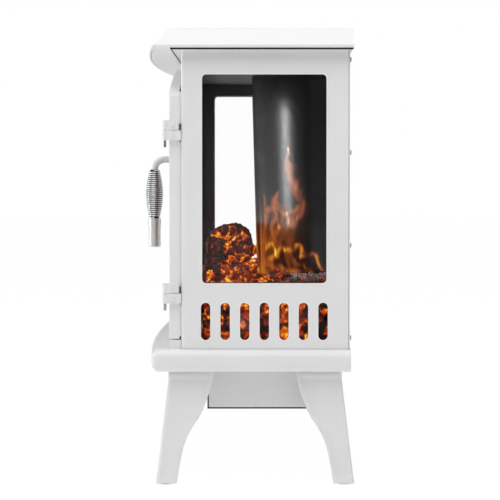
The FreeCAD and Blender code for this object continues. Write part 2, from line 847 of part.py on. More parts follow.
def rocker(x):
    """A rocker whose face is a shallow V, with its pivot behind the panel."""
    half_w = rocker_width / 2
    half_h = rocker_height / 2
    face = panel_face - 3.5
    points = [Vec(x - half_w, face + 2.0, control_z - half_h + 1),
              Vec(x - half_w, face + 0.6, control_z),
              Vec(x - half_w, face + 2.0, control_z + half_h - 1),
              Vec(x - half_w, face + 6.0, control_z + half_h - 1.6),
              Vec(x - half_w, face + 7.5, control_z),
              Vec(x - half_w, face + 6.0, control_z - half_h + 1.6)]
    wire = Part.makePolygon(points + [points[0]])
    return Part.Face(wire).extrude(Vec(2 * half_w, 0, 0))


# ---------------------------------------------------------------- heater
def make_heater():
    low = leg_height - housing_depth + tray
    high = leg_height
    inner_high = high - sheet
    outer = block(-housing_half_width, housing_half_width, housing_front, housing_rear, low,
                  high)
    hollow = block(-housing_half_width + sheet, housing_half_width - sheet,
                   housing_front - 1, housing_rear - sheet, low - 1, inner_high)
    intake_half = duct_half_width - duct_lip
    intake = block(-intake_half, intake_half, duct_front + duct_end_lip,
                   duct_rear - duct_end_lip, inner_high - 1, high + 1)
    save("heater_housing", outer.cut(hollow).cut(intake))
    inside = housing_half_width - sheet - panel_gap
    face = housing_front - tray
    grille = block(-inside, inside, face, face + grille_depth, low - tray,
                   inner_high - panel_gap)
    floor = block(-housing_half_width, housing_half_width, face, housing_rear, low - tray, low)
    column_width = 2 * inside / grille_columns
    for column in range(grille_columns):
        x0 = -inside + column * column_width + grille_bar / 2
        x1 = x0 + column_width - grille_bar
        for row in range(grille_rows):
            z = low + grille_foot + row * grille_pitch
            grille = grille.cut(block(x0, x1, face - 1, face + grille_depth + 1, z,
                                      z + grille_slot))
    save("outlet_grille", grille.fuse(floor))

    axis_z = leg_height - housing_depth / 2
    wheel = []
    for x in (-wheel_half_length, 0.0, wheel_half_length):
        wheel.append(bar(wheel_radius, Vec(x - wheel_disc / 2, wheel_y, axis_z),
                         Vec(x + wheel_disc / 2, wheel_y, axis_z)))
    blade_top = axis_z + wheel_radius - blade_inset
    for index in range(wheel_blades):
        blade_box = block(-wheel_half_length, wheel_half_length, wheel_y - blade / 2,
                          wheel_y + blade / 2, blade_top - blade_width, blade_top)
        blade_box.rotate(Vec(0, wheel_y, axis_z), Vec(1, 0, 0), 360.0 * index / wheel_blades)
        wheel.append(blade_box)
    axle = bar(spindle_radius, Vec(-wheel_half_length - axle_past_bearing, wheel_y, axis_z),
               Vec(wheel_half_length + axle_past_motor, wheel_y, axis_z))
    save("blower_wheel", axle.multiFuse(wheel))
    hole = bar(spindle_radius + spindle_running, Vec(-half_width, wheel_y, axis_z),
               Vec(half_width, wheel_y, axis_z))
    x0 = wheel_half_length + motor_gap
    motor = bar(motor_radius, Vec(x0, wheel_y, axis_z), Vec(x0 + motor_length, wheel_y, axis_z))
    foot = block(x0 + motor_gap, x0 + motor_radius, wheel_y - motor_foot_width / 2,
                 wheel_y + motor_foot_width / 2, low, axis_z)
    save("blower_motor", motor.fuse(foot).cut(hole))
    x0 = -wheel_half_length - bearing_gap - bearing_width
    bearing = block(x0, x0 + bearing_width, wheel_y - bearing_wall, wheel_y + bearing_wall, low,
                    axis_z + bearing_wall)
    save("blower_bearing", bearing.cut(hole))

    y0 = element_front
    y1 = element_front + element_depth
    rail_low = low + element_clearance
    rail_high = inner_high - element_clearance
    element = [block(-element_half, element_half, y0, y1, rail_low, rail_low + element_rail),
               block(-element_half, element_half, y0, y1, rail_high - element_rail, rail_high)]
    for index in range(element_fins):
        x = -element_half + index * element_pitch
        element.append(block(x, x + fin_width, y0 + fin_inset, y1 - fin_inset,
                             rail_low + element_rail, rail_high - element_rail))
    save("heater_element", element[0].multiFuse(element[1:]))
    x0 = element_half + cutout_gap
    save("thermal_cutout", block(x0, x0 + cutout_width, y0 + 4, y0 + 16, low,
                                 low + cutout_height))


# ---------------------------------------------------------------- door
def make_door():
    frame = arched_slab(door_half, door_bottom, door_spring, door_crown, door_front, door_back)
    corners = []
    for edge in frame.Edges:
        box = edge.BoundBox
        if box.YLength > door_thickness - 0.1 and box.ZMin > door_spring - 1:
            corners.append(edge)
    frame = frame.makeFillet(door_corner_radius, corners)
    half = door_half - door_stile
    spring = arch_height(half, door_stile)
    crown = door_crown - door_stile
    view = arched_slab(half, opening_bottom, spring, crown, door_front - 1, door_back + 1)
    wide = door_half - door_stile + door_rebate
    rebate_inset = door_stile - door_rebate
    seat = arched_slab(wide, opening_bottom - door_rebate, arch_height(wide, rebate_inset),
                       door_crown - rebate_inset, door_front + door_lip, door_back + 1)
    frame = frame.cut(view).cut(seat)
    wide_rim = door_half - door_skin
    hollow = arched_slab(wide_rim, door_bottom + door_skin, arch_height(wide_rim, door_skin),
                         door_crown - door_skin, door_front + door_skin, door_back + 1)
    kept = rebate_inset - door_skin
    wide_kept = door_half - kept
    core = arched_slab(wide_kept, door_bottom + kept, arch_height(wide_kept, kept),
                       door_crown - kept, door_front, door_back + 2)
    frame = frame.cut(hollow.cut(core))
    front_edges = []
    for edge in frame.Edges:
        if edge.BoundBox.YMax < door_front + 0.01:
            front_edges.append(edge)
    frame = frame.makeFillet(door_edge_radius, front_edges)
    rod_hole = Part.makeCylinder(handle_rod_radius + 0.3, 40, Vec(handle_x, door_front - 10,
                                                                  handle_height), Vec(0, 1, 0))
    save("door_frame", frame.cut(rod_hole))
    gap = panel_gap
    wide = wide - gap
    inset = rebate_inset + gap
    pane = arched_slab(wide, opening_bottom - door_rebate + gap, arch_height(wide, inset),
                       door_crown - inset, door_front + door_lip,
                       door_front + door_lip + glass)
    save("door_glass", pane)
    clips = []
    y0 = door_front + door_lip + glass
    for x in (-180, 0, 180):
        z = opening_bottom - door_rebate
        clips.append(block(x - 10, x + 10, y0, y0 + 2.0, z + 0.5, z + 11.0))
    glass_side = spring - opening_bottom
    for side in (-1, 1):
        for share in (0.15, 0.5, 0.85):
            z = opening_bottom + share * glass_side
            x0 = side * (wide - 0.5)
            clips.append(block(x0, x0 - side * 10, y0, y0 + 2.0, z - 10, z + 10))
    save("door_glass_clips", Part.makeCompound(clips))


def make_handle():
    start = Vec(handle_x, door_front + door_skin + 3.0, handle_height)
    bend_start = Vec(handle_x, grip_y + handle_bend, handle_height)
    bend_end = Vec(handle_x, grip_y, handle_height - handle_bend)
    turn = handle_bend * (1 - math.sqrt(0.5))
    bend_middle = Vec(handle_x, grip_y + turn, handle_height - turn)
    grip_top = handle_height - handle_bend
    grip_low = grip_top - grip_length
    end = Vec(handle_x, grip_y, grip_low - collar_length - end_length + 4)
    path = Part.Wire([Part.makeLine(start, bend_start),
                      Part.Arc(bend_start, bend_middle, bend_end).toShape(),
                      Part.makeLine(bend_end, end)])
    ring = Part.Wire([Part.makeCircle(handle_rod_radius, start, Vec(0, 1, 0))])
    rod = path.makePipeShell([ring], True, False)
    washer = Part.makeCylinder(12, 2.5, Vec(handle_x, door_front - 2.5, handle_height),
                               Vec(0, 1, 0))
    nut = Part.makeCylinder(9, 3.0, Vec(handle_x, door_front + door_skin, handle_height),
                            Vec(0, 1, 0))
    save("handle_rod", rod.fuse(washer).fuse(nut))
    bore = handle_rod_radius + grip_bore_gap
    pitch = grip_length / grip_turns
    edges = []
    points = []
    for index in range(grip_turns + 1):
        share = index / grip_turns
        swell = math.sin(math.pi * share)
        radius = grip_end_radius + (grip_middle_radius - grip_end_radius) * swell
        points.append(Vec(handle_x + radius - pitch * 0.4, grip_y, grip_low + index * pitch))
    for index in range(grip_turns):
        low = points[index]
        high = points[index + 1]
        middle = low.add(high).multiply(0.5).add(Vec(pitch * 0.4, 0, 0))
        edges.append(Part.Arc(low, middle, high).toShape())
    a = Vec(handle_x + bore, grip_y, grip_low)
    b = Vec(handle_x + bore, grip_y, grip_top)
    edges = edges + [Part.makeLine(points[-1], b), Part.makeLine(b, a),
                     Part.makeLine(a, points[0])]
    face = Part.Face(Part.Wire(edges))
    save("handle_spring", face.revolve(Vec(handle_x, grip_y, 0), UP, 360))
    hole = Part.makeCylinder(handle_rod_radius, 200, Vec(handle_x, grip_y, end.z))
    collar = Part.makeCylinder(collar_radius, collar_length,
                               Vec(handle_x, grip_y, grip_low - collar_length))
    knob = Part.makeCylinder(end_radius, end_length,
                             Vec(handle_x, grip_y, grip_low - collar_length - end_length))
    edges = [e for e in knob.Edges if e.BoundBox.ZMax < grip_low - collar_length - 1]
    knob = knob.makeFillet(1.5, [e for e in edges if e.BoundBox.ZLength < 0.1])
    save("handle_end", collar.fuse(knob).cut(hole))


def make_hinges():
    door_leaves = []
    body_leaves = []
    pins = []
    leaf_outer = pin_x + 1.4
    reach = door_front + door_thickness - 1.0
    for split in (upper_hinge_height, lower_hinge_height):
        z0 = split + knuckle_split / 2
        barrel = Part.makeCylinder(knuckle_radius, knuckle_height, Vec(pin_x, pin_y, z0))
        leaf = block(door_half, leaf_outer, pin_y, reach, z0, z0 + knuckle_height)
        hole = Part.makeCylinder(pin_radius + pin_running, knuckle_height - 2.5,
                                 Vec(pin_x, pin_y, z0))
        door_leaves.append(barrel.fuse(leaf).cut(hole))
        z0 = split - knuckle_split / 2 - knuckle_height
        barrel = Part.makeCylinder(knuckle_radius, knuckle_height, Vec(pin_x, pin_y, z0))
        leaf = block(pin_x - 4.4, leaf_outer, pin_y, front - 0.05, z0, z0 + knuckle_height)
        foot = block(half_width - flange + 1, leaf_outer, front - 2.0, front - 0.05, z0,
                     z0 + knuckle_height)
        hole = Part.makeCylinder(pin_radius, knuckle_height, Vec(pin_x, pin_y, z0))
        body_leaves.append(barrel.fuse(leaf).fuse(foot).cut(hole))
        pin = Part.makeCylinder(pin_radius, 2 * knuckle_height + pin_tail - 3.5,
                                Vec(pin_x, pin_y, z0 - pin_tail))
        pins.append(pin)
    save("door_hinge_leaves", Part.makeCompound(door_leaves))
    save("cabinet_hinge_leaves", Part.makeCompound(body_leaves))
    save("hinge_pins", Part.makeCompound(pins))


def make_catch():
    sill = block(-door_half, door_half, door_front + 1.0, front - panel_gap, base_top,
                 base_top + sill_height)
    save("door_sill", sill)
    x = -(half_width - flange - magnet_inset)
    back = front - 0.02
    magnet = block(x - magnet_width / 2, x + magnet_width / 2, back - magnet_thickness, back,
                   magnet_height - magnet_length / 2, magnet_height + magnet_length / 2)
    save("magnet_catch", magnet)


os.makedirs("parts", exist_ok=True)
make_cap()
make_base()
make_legs()
make_shell()
make_side_glazing()
make_screen()
make_fire()
make_flame_mechanism()
make_controls()
make_heater()
make_door()
make_handle()
make_hinges()
make_catch()
for name, count, valid, volume in made:
    print("%-22s %d solids valid=%s %.0f mm3" % (name, count, valid, volume))
print("nodes", len(made), "shift_y %.3f" % shift_y)
print("pin axis %.2f %.2f" % (pin_x, pin_y + shift_y))
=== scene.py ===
import math

import bmesh
import bpy
from mathutils import Matrix, Vector, noise


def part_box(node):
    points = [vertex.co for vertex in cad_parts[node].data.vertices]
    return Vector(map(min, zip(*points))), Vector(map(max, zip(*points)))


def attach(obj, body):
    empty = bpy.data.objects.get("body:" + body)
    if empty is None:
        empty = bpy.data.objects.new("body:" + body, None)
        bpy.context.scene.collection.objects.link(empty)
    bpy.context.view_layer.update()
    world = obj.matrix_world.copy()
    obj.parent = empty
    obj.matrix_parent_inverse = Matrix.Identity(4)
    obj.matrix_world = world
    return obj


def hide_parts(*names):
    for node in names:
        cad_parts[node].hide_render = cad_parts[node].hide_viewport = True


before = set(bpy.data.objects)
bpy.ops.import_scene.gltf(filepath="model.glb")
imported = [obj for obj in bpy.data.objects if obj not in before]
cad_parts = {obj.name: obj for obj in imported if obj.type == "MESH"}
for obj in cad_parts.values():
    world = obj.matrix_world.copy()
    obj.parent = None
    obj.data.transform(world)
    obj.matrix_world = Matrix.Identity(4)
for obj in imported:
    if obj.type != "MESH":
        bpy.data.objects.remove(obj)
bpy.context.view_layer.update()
MM = 0.001
BODY = "cabinet"
# the logs' noise_vector takes its offsets from this seed, and from the clock without one
noise.seed_set(7)


# ------------------------------------------------------------------ small helpers
def linear(code):
    """An sRGB hex colour as a linear RGBA tuple."""
    out = []
    for start in (0, 2, 4):
        value = int(code[start:start + 2], 16) / 255
        out.append(value / 12.92 if value <= 0.04045 else ((value + 0.055) / 1.055) ** 2.4)
    return (*out, 1.0)


def add(tree, kind, settings=None, links=None):
    """Adds a node, sets its properties and sockets, and links its inputs."""
    node = tree.nodes.new(kind)
    for key, value in (settings or {}).items():
        if isinstance(key, str) and hasattr(node, key):
            setattr(node, key, value)
        else:
            node.inputs[key].default_value = value
    for key, source in (links or {}).items():
        tree.links.new(source, node.inputs[key])
    return node


def new_material(name):
    """An empty material and its tree."""
    material = bpy.data.materials.new(name)
    material.use_nodes = True
    material.node_tree.nodes.clear()
    return material, material.node_tree


def surfaced(material, shader):
    """Ends a material in a shader and gives it back."""
    add(material.node_tree, "ShaderNodeOutputMaterial", links={"Surface": shader.outputs[0]})
    return material


def object_noise(tree, size, detail=2.0, roughness=0.5, stretch=(1, 1, 1)):
    """Noise on Object coordinates whose blobs are about size metres across."""
    where = add(tree, "ShaderNodeTexCoord")
    placed = add(tree, "ShaderNodeMapping", {"Scale": stretch},
                 {"Vector": where.outputs["Object"]})
    return add(tree, "ShaderNodeTexNoise",
               {"Scale": 1 / size, "Detail": detail, "Roughness": roughness},
               {"Vector": placed.outputs["Vector"]})


def ramp(tree, factor, stops):
    """A colour ramp with the given (position, colour) stops."""
    node = add(tree, "ShaderNodeValToRGB", links={"Fac": factor})
    band = node.color_ramp
    band.elements[0].position, band.elements[0].color = stops[0]
    band.elements[1].position, band.elements[1].color = stops[-1]
    for place, colour in stops[1:-1]:
        band.elements.new(place).color = colour
    return node


def calc(tree, operation, *values, clamp=False):
    """The result of a Math node on sockets or plain numbers."""
    node = add(tree, "ShaderNodeMath", {"operation": operation, "use_clamp": clamp})
    for index, value in enumerate(values):
        if isinstance(value, bpy.types.NodeSocket):
            tree.links.new(value, node.inputs[index])
        else:
            node.inputs[index].default_value = value
    return node.outputs[0]


def span(tree, value, low, high, new_low=0.0, new_high=1.0):
    """A value moved from one range to another and held at the ends."""
    return add(tree, "ShaderNodeMapRange",
               {"From Min": low, "From Max": high, "To Min": new_low, "To Max": new_high},
               {"Value": value}).outputs[0]


def bumps(tree, height, strength, distance):
    """The normal of a surface raised by a pattern."""
    return add(tree, "ShaderNodeBump", {"Strength": strength, "Distance": distance},
               {"Height": height.outputs["Fac"]}).outputs["Normal"]


def tinted(code, share):
    """A colour darkened to a share of itself."""
    return (*(Vector(linear(code)[:3]) * share), 1.0)


def skinned(material, settings, links):
    """Ends a material in one Principled surface and gives it back."""
    return surfaced(material, add(material.node_tree, "ShaderNodeBsdfPrincipled", settings,
                                  links))


def paint(obj, material):
    """Puts one material on every slot of a piece."""
    obj.data.materials.clear()
    obj.data.materials.append(material)
    return obj


def paint_node(material, *nodes):
    """Gives CAD nodes that stay a better material, in the slots they have."""
    for node in nodes:
        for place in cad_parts[node].material_slots:
            place.material = material


def link(name, data):
    """A new object for a mesh, curve, light or camera, in the scene."""
    obj = bpy.data.objects.new(name, data)
    bpy.context.collection.objects.link(obj)
    return obj


def mesh_object(name, points, faces, smooth=True):
    """A piece from points in metres and faces, with its normals turned outwards."""
    mesh = bpy.data.meshes.new(name)
    mesh.from_pydata([tuple(p) for p in points], [], faces)
    shape = bmesh.new()
    shape.from_mesh(mesh)
    bmesh.ops.recalc_face_normals(shape, faces=shape.faces)
    shape.to_mesh(mesh)
    shape.free()
    for face in mesh.polygons:
        face.use_smooth = smooth
    return link(name, mesh)


def loft(sections, closed_ends=True):
    """Points and faces that join equal closed loops, capped at both ends."""
    count = len(sections[0])
    points = [p for loop in sections for p in loop]
    faces = []
    for row in range(len(sections) - 1):
        for i in range(count):
            j = (i + 1) % count
            faces.append((row * count + i, row * count + j, (row + 1) * count + j,
                          (row + 1) * count + i))
    if closed_ends:
        faces.append(tuple(reversed(range(count))))
        faces.append(tuple(range((len(sections) - 1) * count, len(sections) * count)))
    return points, faces


BOX_FACES = ((3, 2, 1, 0), (4, 5, 6, 7), (0, 1, 5, 4), (1, 2, 6, 5), (2, 3, 7, 6), (3, 0, 4, 7))


def add_block(points, faces, corners):
    """Adds a block to a list of points and faces, from its four low and four high corners."""
    base = len(points)
    points += corners
    faces += [tuple(base + i for i in quad) for quad in BOX_FACES]


def slab(points, faces, x0, x1, y0, y1, z0, z1):
    """Adds an upright box to a list of points and faces."""
    add_block(points, faces, [Vector((x, y, z)) for z in (z0, z1) for x, y in
                              ((x0, y0), (x1, y0), (x1, y1), (x0, y1))])


def ring(centre, radius, z, sides):
    """A level circle of points round a centre."""
    return [Vector((centre[0] + radius * math.cos(2 * math.pi * i / sides),
                    centre[1] + radius * math.sin(2 * math.pi * i / sides), z))
            for i in range(sides)]


def settle(obj, body, material=None, replaces=()):
    """Finishes a piece: its material, the body it rides on, what it stands for."""
    if material is not None:
        paint(obj, material)
    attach(obj, body)
    if replaces:
        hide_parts(*replaces)
    return obj


def apply_modifiers(obj):
    """Turns a piece and its modifiers into one plain mesh."""
    graph = bpy.context.evaluated_depsgraph_get()
    mesh = bpy.data.meshes.new_from_object(obj.evaluated_get(graph))
    old = obj.data
    obj.modifiers.clear()
    obj.data = mesh
    bpy.data.meshes.remove(old)
    return obj


def bevel_edges(obj, width, segments=2, angle=30):
    """Rounds a piece's sharp edges and makes the result its mesh."""
    tool = obj.modifiers.new("edge", "BEVEL")
    tool.width = width
    tool.segments = segments
    tool.limit_method = "ANGLE"
    tool.angle_limit = math.radians(angle)
    return apply_modifiers(obj)


def smooth_step(low, high, value):
    t = min(1.0, max(0.0, (value - low) / (high - low)))
    return t * t * (3 - 2 * t)


def between(stations, share):
    """A smooth curve through given (share, value) stations, in rising order."""
    if share <= stations[0][0]:
        return stations[0][1]
    for index in range(len(stations) - 1):
        x0, y0 = stations[index]
        x1, y1 = stations[index + 1]
        if share <= x1:
            before = stations[max(index - 1, 0)]
            after = stations[min(index + 2, len(stations) - 1)]
            slope0 = (y1 - before[1]) / max(x1 - before[0], 1e-9)
            slope1 = (after[1] - y0) / max(after[0] - x0, 1e-9)
            t = (share - x0) / (x1 - x0)
            run = x1 - x0
            return ((2 * t ** 3 - 3 * t ** 2 + 1) * y0 + (t ** 3 - 2 * t ** 2 + t) * run * slope0
                    + (3 * t ** 2 - 2 * t ** 3) * y1 + (t ** 3 - t ** 2) * run * slope1)
    return stations[-1][1]


# ------------------------------------------------------------------ camera and light
WORLD_LIGHT = 0.52
CAMERA_LENS = 118.5
CAMERA_DISTANCE = 2.141
CAMERA_HEIGHT = 0.3936
CAMERA_Y = 0.0367
CAMERA_TILT = 1.2
CAMERA_SHIFT = (-0.026, -0.067)


def make_camera():
    """A long lens square on to the right-hand side, a little above the middle."""
    data = bpy.data.cameras.new("camera")
    camera = link("camera", data)
    data.lens = CAMERA_LENS
    data.sensor_width = 36.0
    data.shift_x = CAMERA_SHIFT[0]
    data.shift_y = CAMERA_SHIFT[1]
    data.clip_end = 50
    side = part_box("side_panel_right")[1].x
    camera.location = (side + CAMERA_DISTANCE, CAMERA_Y, CAMERA_HEIGHT)
    camera.rotation_euler = (math.radians(90 - CAMERA_TILT), 0, math.radians(90))
    bpy.context.scene.camera = camera


def area_light(name, place, target, width, height, power):
    """A soft box at a place, aimed at a target, that the camera cannot see."""
    data = bpy.data.lights.new(name, "AREA")
    data.shape = "RECTANGLE"
    data.size = width
    data.size_y = height
    data.energy = power
    light = link(name, data)
    light.location = place
    aim = Vector(target) - Vector(place)
    light.rotation_euler = aim.to_track_quat("-Z", "Y").to_euler()
    light.visible_camera = False
    return light


def make_stage():
    """A plain near-white floor and a soft white surround."""
    material, tree = new_material("pale_floor")
    matt = add(tree, "ShaderNodeBsdfDiffuse", {"Color": linear("FFFFFF")})
    glow = add(tree, "ShaderNodeEmission", {"Color": linear("FFFFFF"), "Strength": 1.02})
    path = add(tree, "ShaderNodeLightPath")
    share = span(tree, path.outputs["Is Camera Ray"], 0, 1, 0.27, 0.96)
    both = add(tree, "ShaderNodeMixShader",
               links={"Fac": share, 1: matt.outputs[0], 2: glow.outputs[0]})
    surfaced(material, both)
    size = 14.0
    floor = mesh_object("floor", [(-size, -size, 0), (size, -size, 0), (size, size, 0),
                                  (-size, size, 0)], [(0, 1, 2, 3)], smooth=False)
    paint(floor, material)
    world = bpy.data.worlds.new("surround")
    bpy.context.scene.world = world
    world.use_nodes = True
    tree = world.node_tree
    tree.nodes.clear()
    output = add(tree, "ShaderNodeOutputWorld")
    seen = add(tree, "ShaderNodeBackground", {"Color": linear("FFFFFF"), "Strength": 1.0})
    where = add(tree, "ShaderNodeTexCoord")
    parts = add(tree, "ShaderNodeSeparateXYZ", links={0: where.outputs["Generated"]})
    turn = calc(tree, "ARCTAN2", parts.outputs["Y"], parts.outputs["X"])
    grey = linear("9A9A9A")
    dim = linear("2E2E2E")
    dark = linear("101010")
    # dark flags stand round the room between soft grey walls, for edges in the gloss
    flags = ramp(tree, span(tree, turn, -math.pi, math.pi),
                 [(0.0, grey), (0.10, grey), (0.14, dim), (0.30, dim), (0.345, dark),
                  (0.395, dark), (0.41, grey),
                  (0.535, grey), (0.55, dark), (0.60, dark), (0.615, grey), (0.70, grey),
                  (0.715, dark), (0.79, dark), (0.805, grey), (1.0, grey)])
    dome = add(tree, "ShaderNodeMix", {"data_type": "RGBA"},
               {"Factor": span(tree, parts.outputs["Z"], 0.15, 0.85),
                6: flags.outputs["Color"]})
    dome.inputs[7].default_value = linear("FFFFFF")
    lit = add(tree, "ShaderNodeBackground", {"Strength": WORLD_LIGHT},
              {"Color": dome.outputs[2]})
    path = add(tree, "ShaderNodeLightPath")
    mix = add(tree, "ShaderNodeMixShader",
              links={"Fac": path.outputs["Is Camera Ray"], 1: lit.outputs[0],
                     2: seen.outputs[0]})
    tree.links.new(mix.outputs[0], output.inputs["Surface"])
    bpy.context.scene.view_settings.view_transform = "Standard"
    middle = (0, 0.04, 0.3)
    area_light("overhead", (1.0, 0.0, 2.3), middle, 2.4, 2.4, 33)
    area_light("side_fill", (3.2, 0.9, 1.5), middle, 1.4, 1.4, 4)
    front = area_light("front_fill", (-0.2, -2.8, 1.0), middle, 1.6, 1.4, 30)
    front.visible_glossy = False
    strip = area_light("screen_strip", (-0.36, -1.05, 0.50), (0.2, 0.07, 0.42), 0.16, 0.40, 2.9)
    strip.visible_diffuse = False


# ------------------------------------------------------------------ materials
def powder_coat(name, code, grain=1.1 * MM, rough=0.42):
    """Polyester powder coat on steel: satin, with a fine even orange-peel grain.
    The real grain is about 0.4 mm and is drawn near 1 mm so that it shows."""
    material, tree = new_material(name)
    peel = object_noise(tree, grain, 2.0)
    cloud = object_noise(tree, 60 * MM, 3.0)
    tone = ramp(tree, cloud.outputs["Fac"], [(0.3, tinted(code, 0.975)), (0.7, linear(code))])
    return skinned(material, {"IOR": 1.5, "Coat Weight": 0.12, "Coat Roughness": 0.25},
                   {"Base Color": tone.outputs["Color"],
                    "Roughness": span(tree, peel.outputs["Fac"], 0, 1, rough - 0.05,
                                      rough + 0.06),
                    "Normal": bumps(tree, peel, 0.10, 0.12 * MM)})


def pane(name):
    """Toughened float glass: nearly all see-through, mirroring more at a glancing angle."""
    material, tree = new_material(name)
    gloss = add(tree, "ShaderNodeBsdfGlossy", {"Roughness": 0.02, "Color": linear("FFFFFF")})
    clear = add(tree, "ShaderNodeBsdfTransparent", {"Color": linear("FFFFFF")})
    edge = add(tree, "ShaderNodeFresnel", {"IOR": 1.16})
    path = add(tree, "ShaderNodeLightPath")
    seen = calc(tree, "MULTIPLY", edge.outputs[0], path.outputs["Is Camera Ray"])
    return surfaced(material, add(tree, "ShaderNodeMixShader",
                                  links={"Fac": seen, 1: clear.outputs[0],
                                         2: gloss.outputs[0]}))


def bright_metal(name, code, rough=0.2, grain=0.5 * MM, stretch=(1, 1, 1)):
    """Plated or drawn metal: a mirror softened by fine drawing lines and handling."""
    material, tree = new_material(name)
    lines = object_noise(tree, grain, 3.0, stretch=stretch)
    smear = object_noise(tree, 9 * MM, 2.0)
    return skinned(material, {"Base Color": linear(code), "Metallic": 1.0},
                   {"Roughness": span(tree, smear.outputs["Fac"], 0, 1,
                                      max(0.03, rough - 0.07), rough + 0.10),
                    "Normal": bumps(tree, lines, 0.12, 0.05 * MM)})


def moulded_plastic(name, code, rough=0.5, grain=0.7 * MM, depth=0.2):
    """Injection-moulded plastic with a spark-eroded texture."""
    material, tree = new_material(name)
    pits = object_noise(tree, grain, 2.0)
    tone = ramp(tree, pits.outputs["Fac"], [(0.3, tinted(code, 0.85)), (0.7, linear(code))])
    return skinned(material, {"Roughness": rough, "IOR": 1.5},
                   {"Base Color": tone.outputs["Color"],
                    "Normal": bumps(tree, pits, depth, 0.1 * MM)})


# the colours of embers, from cold to hottest
EMBER_STOPS = [(0.0, linear("000000")), (0.20, linear("340C04")), (0.40, linear("7A2308")),
               (0.58, linear("B8420A")), (0.74, linear("DC6C0E")), (0.90, linear("F09C1A")),
               (1.0, linear("F8CC44"))]


def burning(name, char, ash, glow, ash_share=0.55, cell=9 * MM, through=0.22):
    """Painted resin log or coal: char black with dusty ash on what stands up, and light
    from inside showing in the cracks. Its glow_depth is 1 at the bottom of a crack."""
    material, tree = new_material(name)
    heat = add(tree, "ShaderNodeAttribute", {"attribute_name": "glow_depth"})
    patches = object_noise(tree, 16 * MM, 3.0, 0.6)
    fine = object_noise(tree, 2.2 * MM, 4.0, 0.65)
    grit = object_noise(tree, cell * 0.35, 3.0, 0.6)
    soot = ramp(tree, fine.outputs["Fac"],
                [(0.35, linear(char)), (ash_share, linear(char)),
                 (ash_share + 0.14, linear(ash))])
    patch = span(tree, patches.outputs["Fac"], 0.30, 0.66)
    vein = span(tree, grit.outputs["Fac"], 0.35, 0.72, 0.45, 1.25)
    thin = calc(tree, "POWER", heat.outputs["Fac"], 1.7)
    lit = calc(tree, "ADD", calc(tree, "MULTIPLY", thin, patch),
               calc(tree, "MULTIPLY", patch, through))
    lit = calc(tree, "MULTIPLY", lit, vein, clamp=True)
    return skinned(material, {"Roughness": 0.72, "Emission Strength": glow},
                   {"Base Color": soot.outputs["Color"],
                    "Normal": bumps(tree, fine, 0.6, 0.8 * MM),
                    "Emission Color": ramp(tree, lit, EMBER_STOPS).outputs["Color"]})


def ember_moulding():
    """Thin amber resin painted with soot and ash, lit from below: it glows where the
    paint is thin, from deep red through orange to yellow, and is grey where ash lies."""
    material, tree = new_material("ember_resin_lit")
    heat = add(tree, "ShaderNodeAttribute", {"attribute_name": "glow_depth"})
    swirl = object_noise(tree, 20 * MM, 3.0, 0.55)
    swirl.inputs["Distortion"].default_value = 1.4
    fine = object_noise(tree, 5 * MM, 4.0, 0.6)
    ashes = object_noise(tree, 26 * MM, 2.0)
    thin = calc(tree, "MULTIPLY", span(tree, swirl.outputs["Fac"], 0.42, 0.73),
                span(tree, fine.outputs["Fac"], 0.3, 0.7, 0.4, 1.1), clamp=True)
    thin = calc(tree, "MULTIPLY", thin, 0.82)
    lit = calc(tree, "MULTIPLY_ADD", heat.outputs["Fac"], thin, thin, clamp=True)
    crust = ramp(tree, ashes.outputs["Fac"],
                 [(0.42, linear("120B08")), (0.58, linear("2B1F1C")), (0.72, linear("7D7377"))])
    return skinned(material, {"Roughness": 0.5, "Emission Strength": 1.0},
                   {"Base Color": crust.outputs["Color"],
                    "Normal": bumps(tree, fine, 0.5, 1.0 * MM),
                    "Emission Color": ramp(tree, lit, EMBER_STOPS).outputs["Color"]})


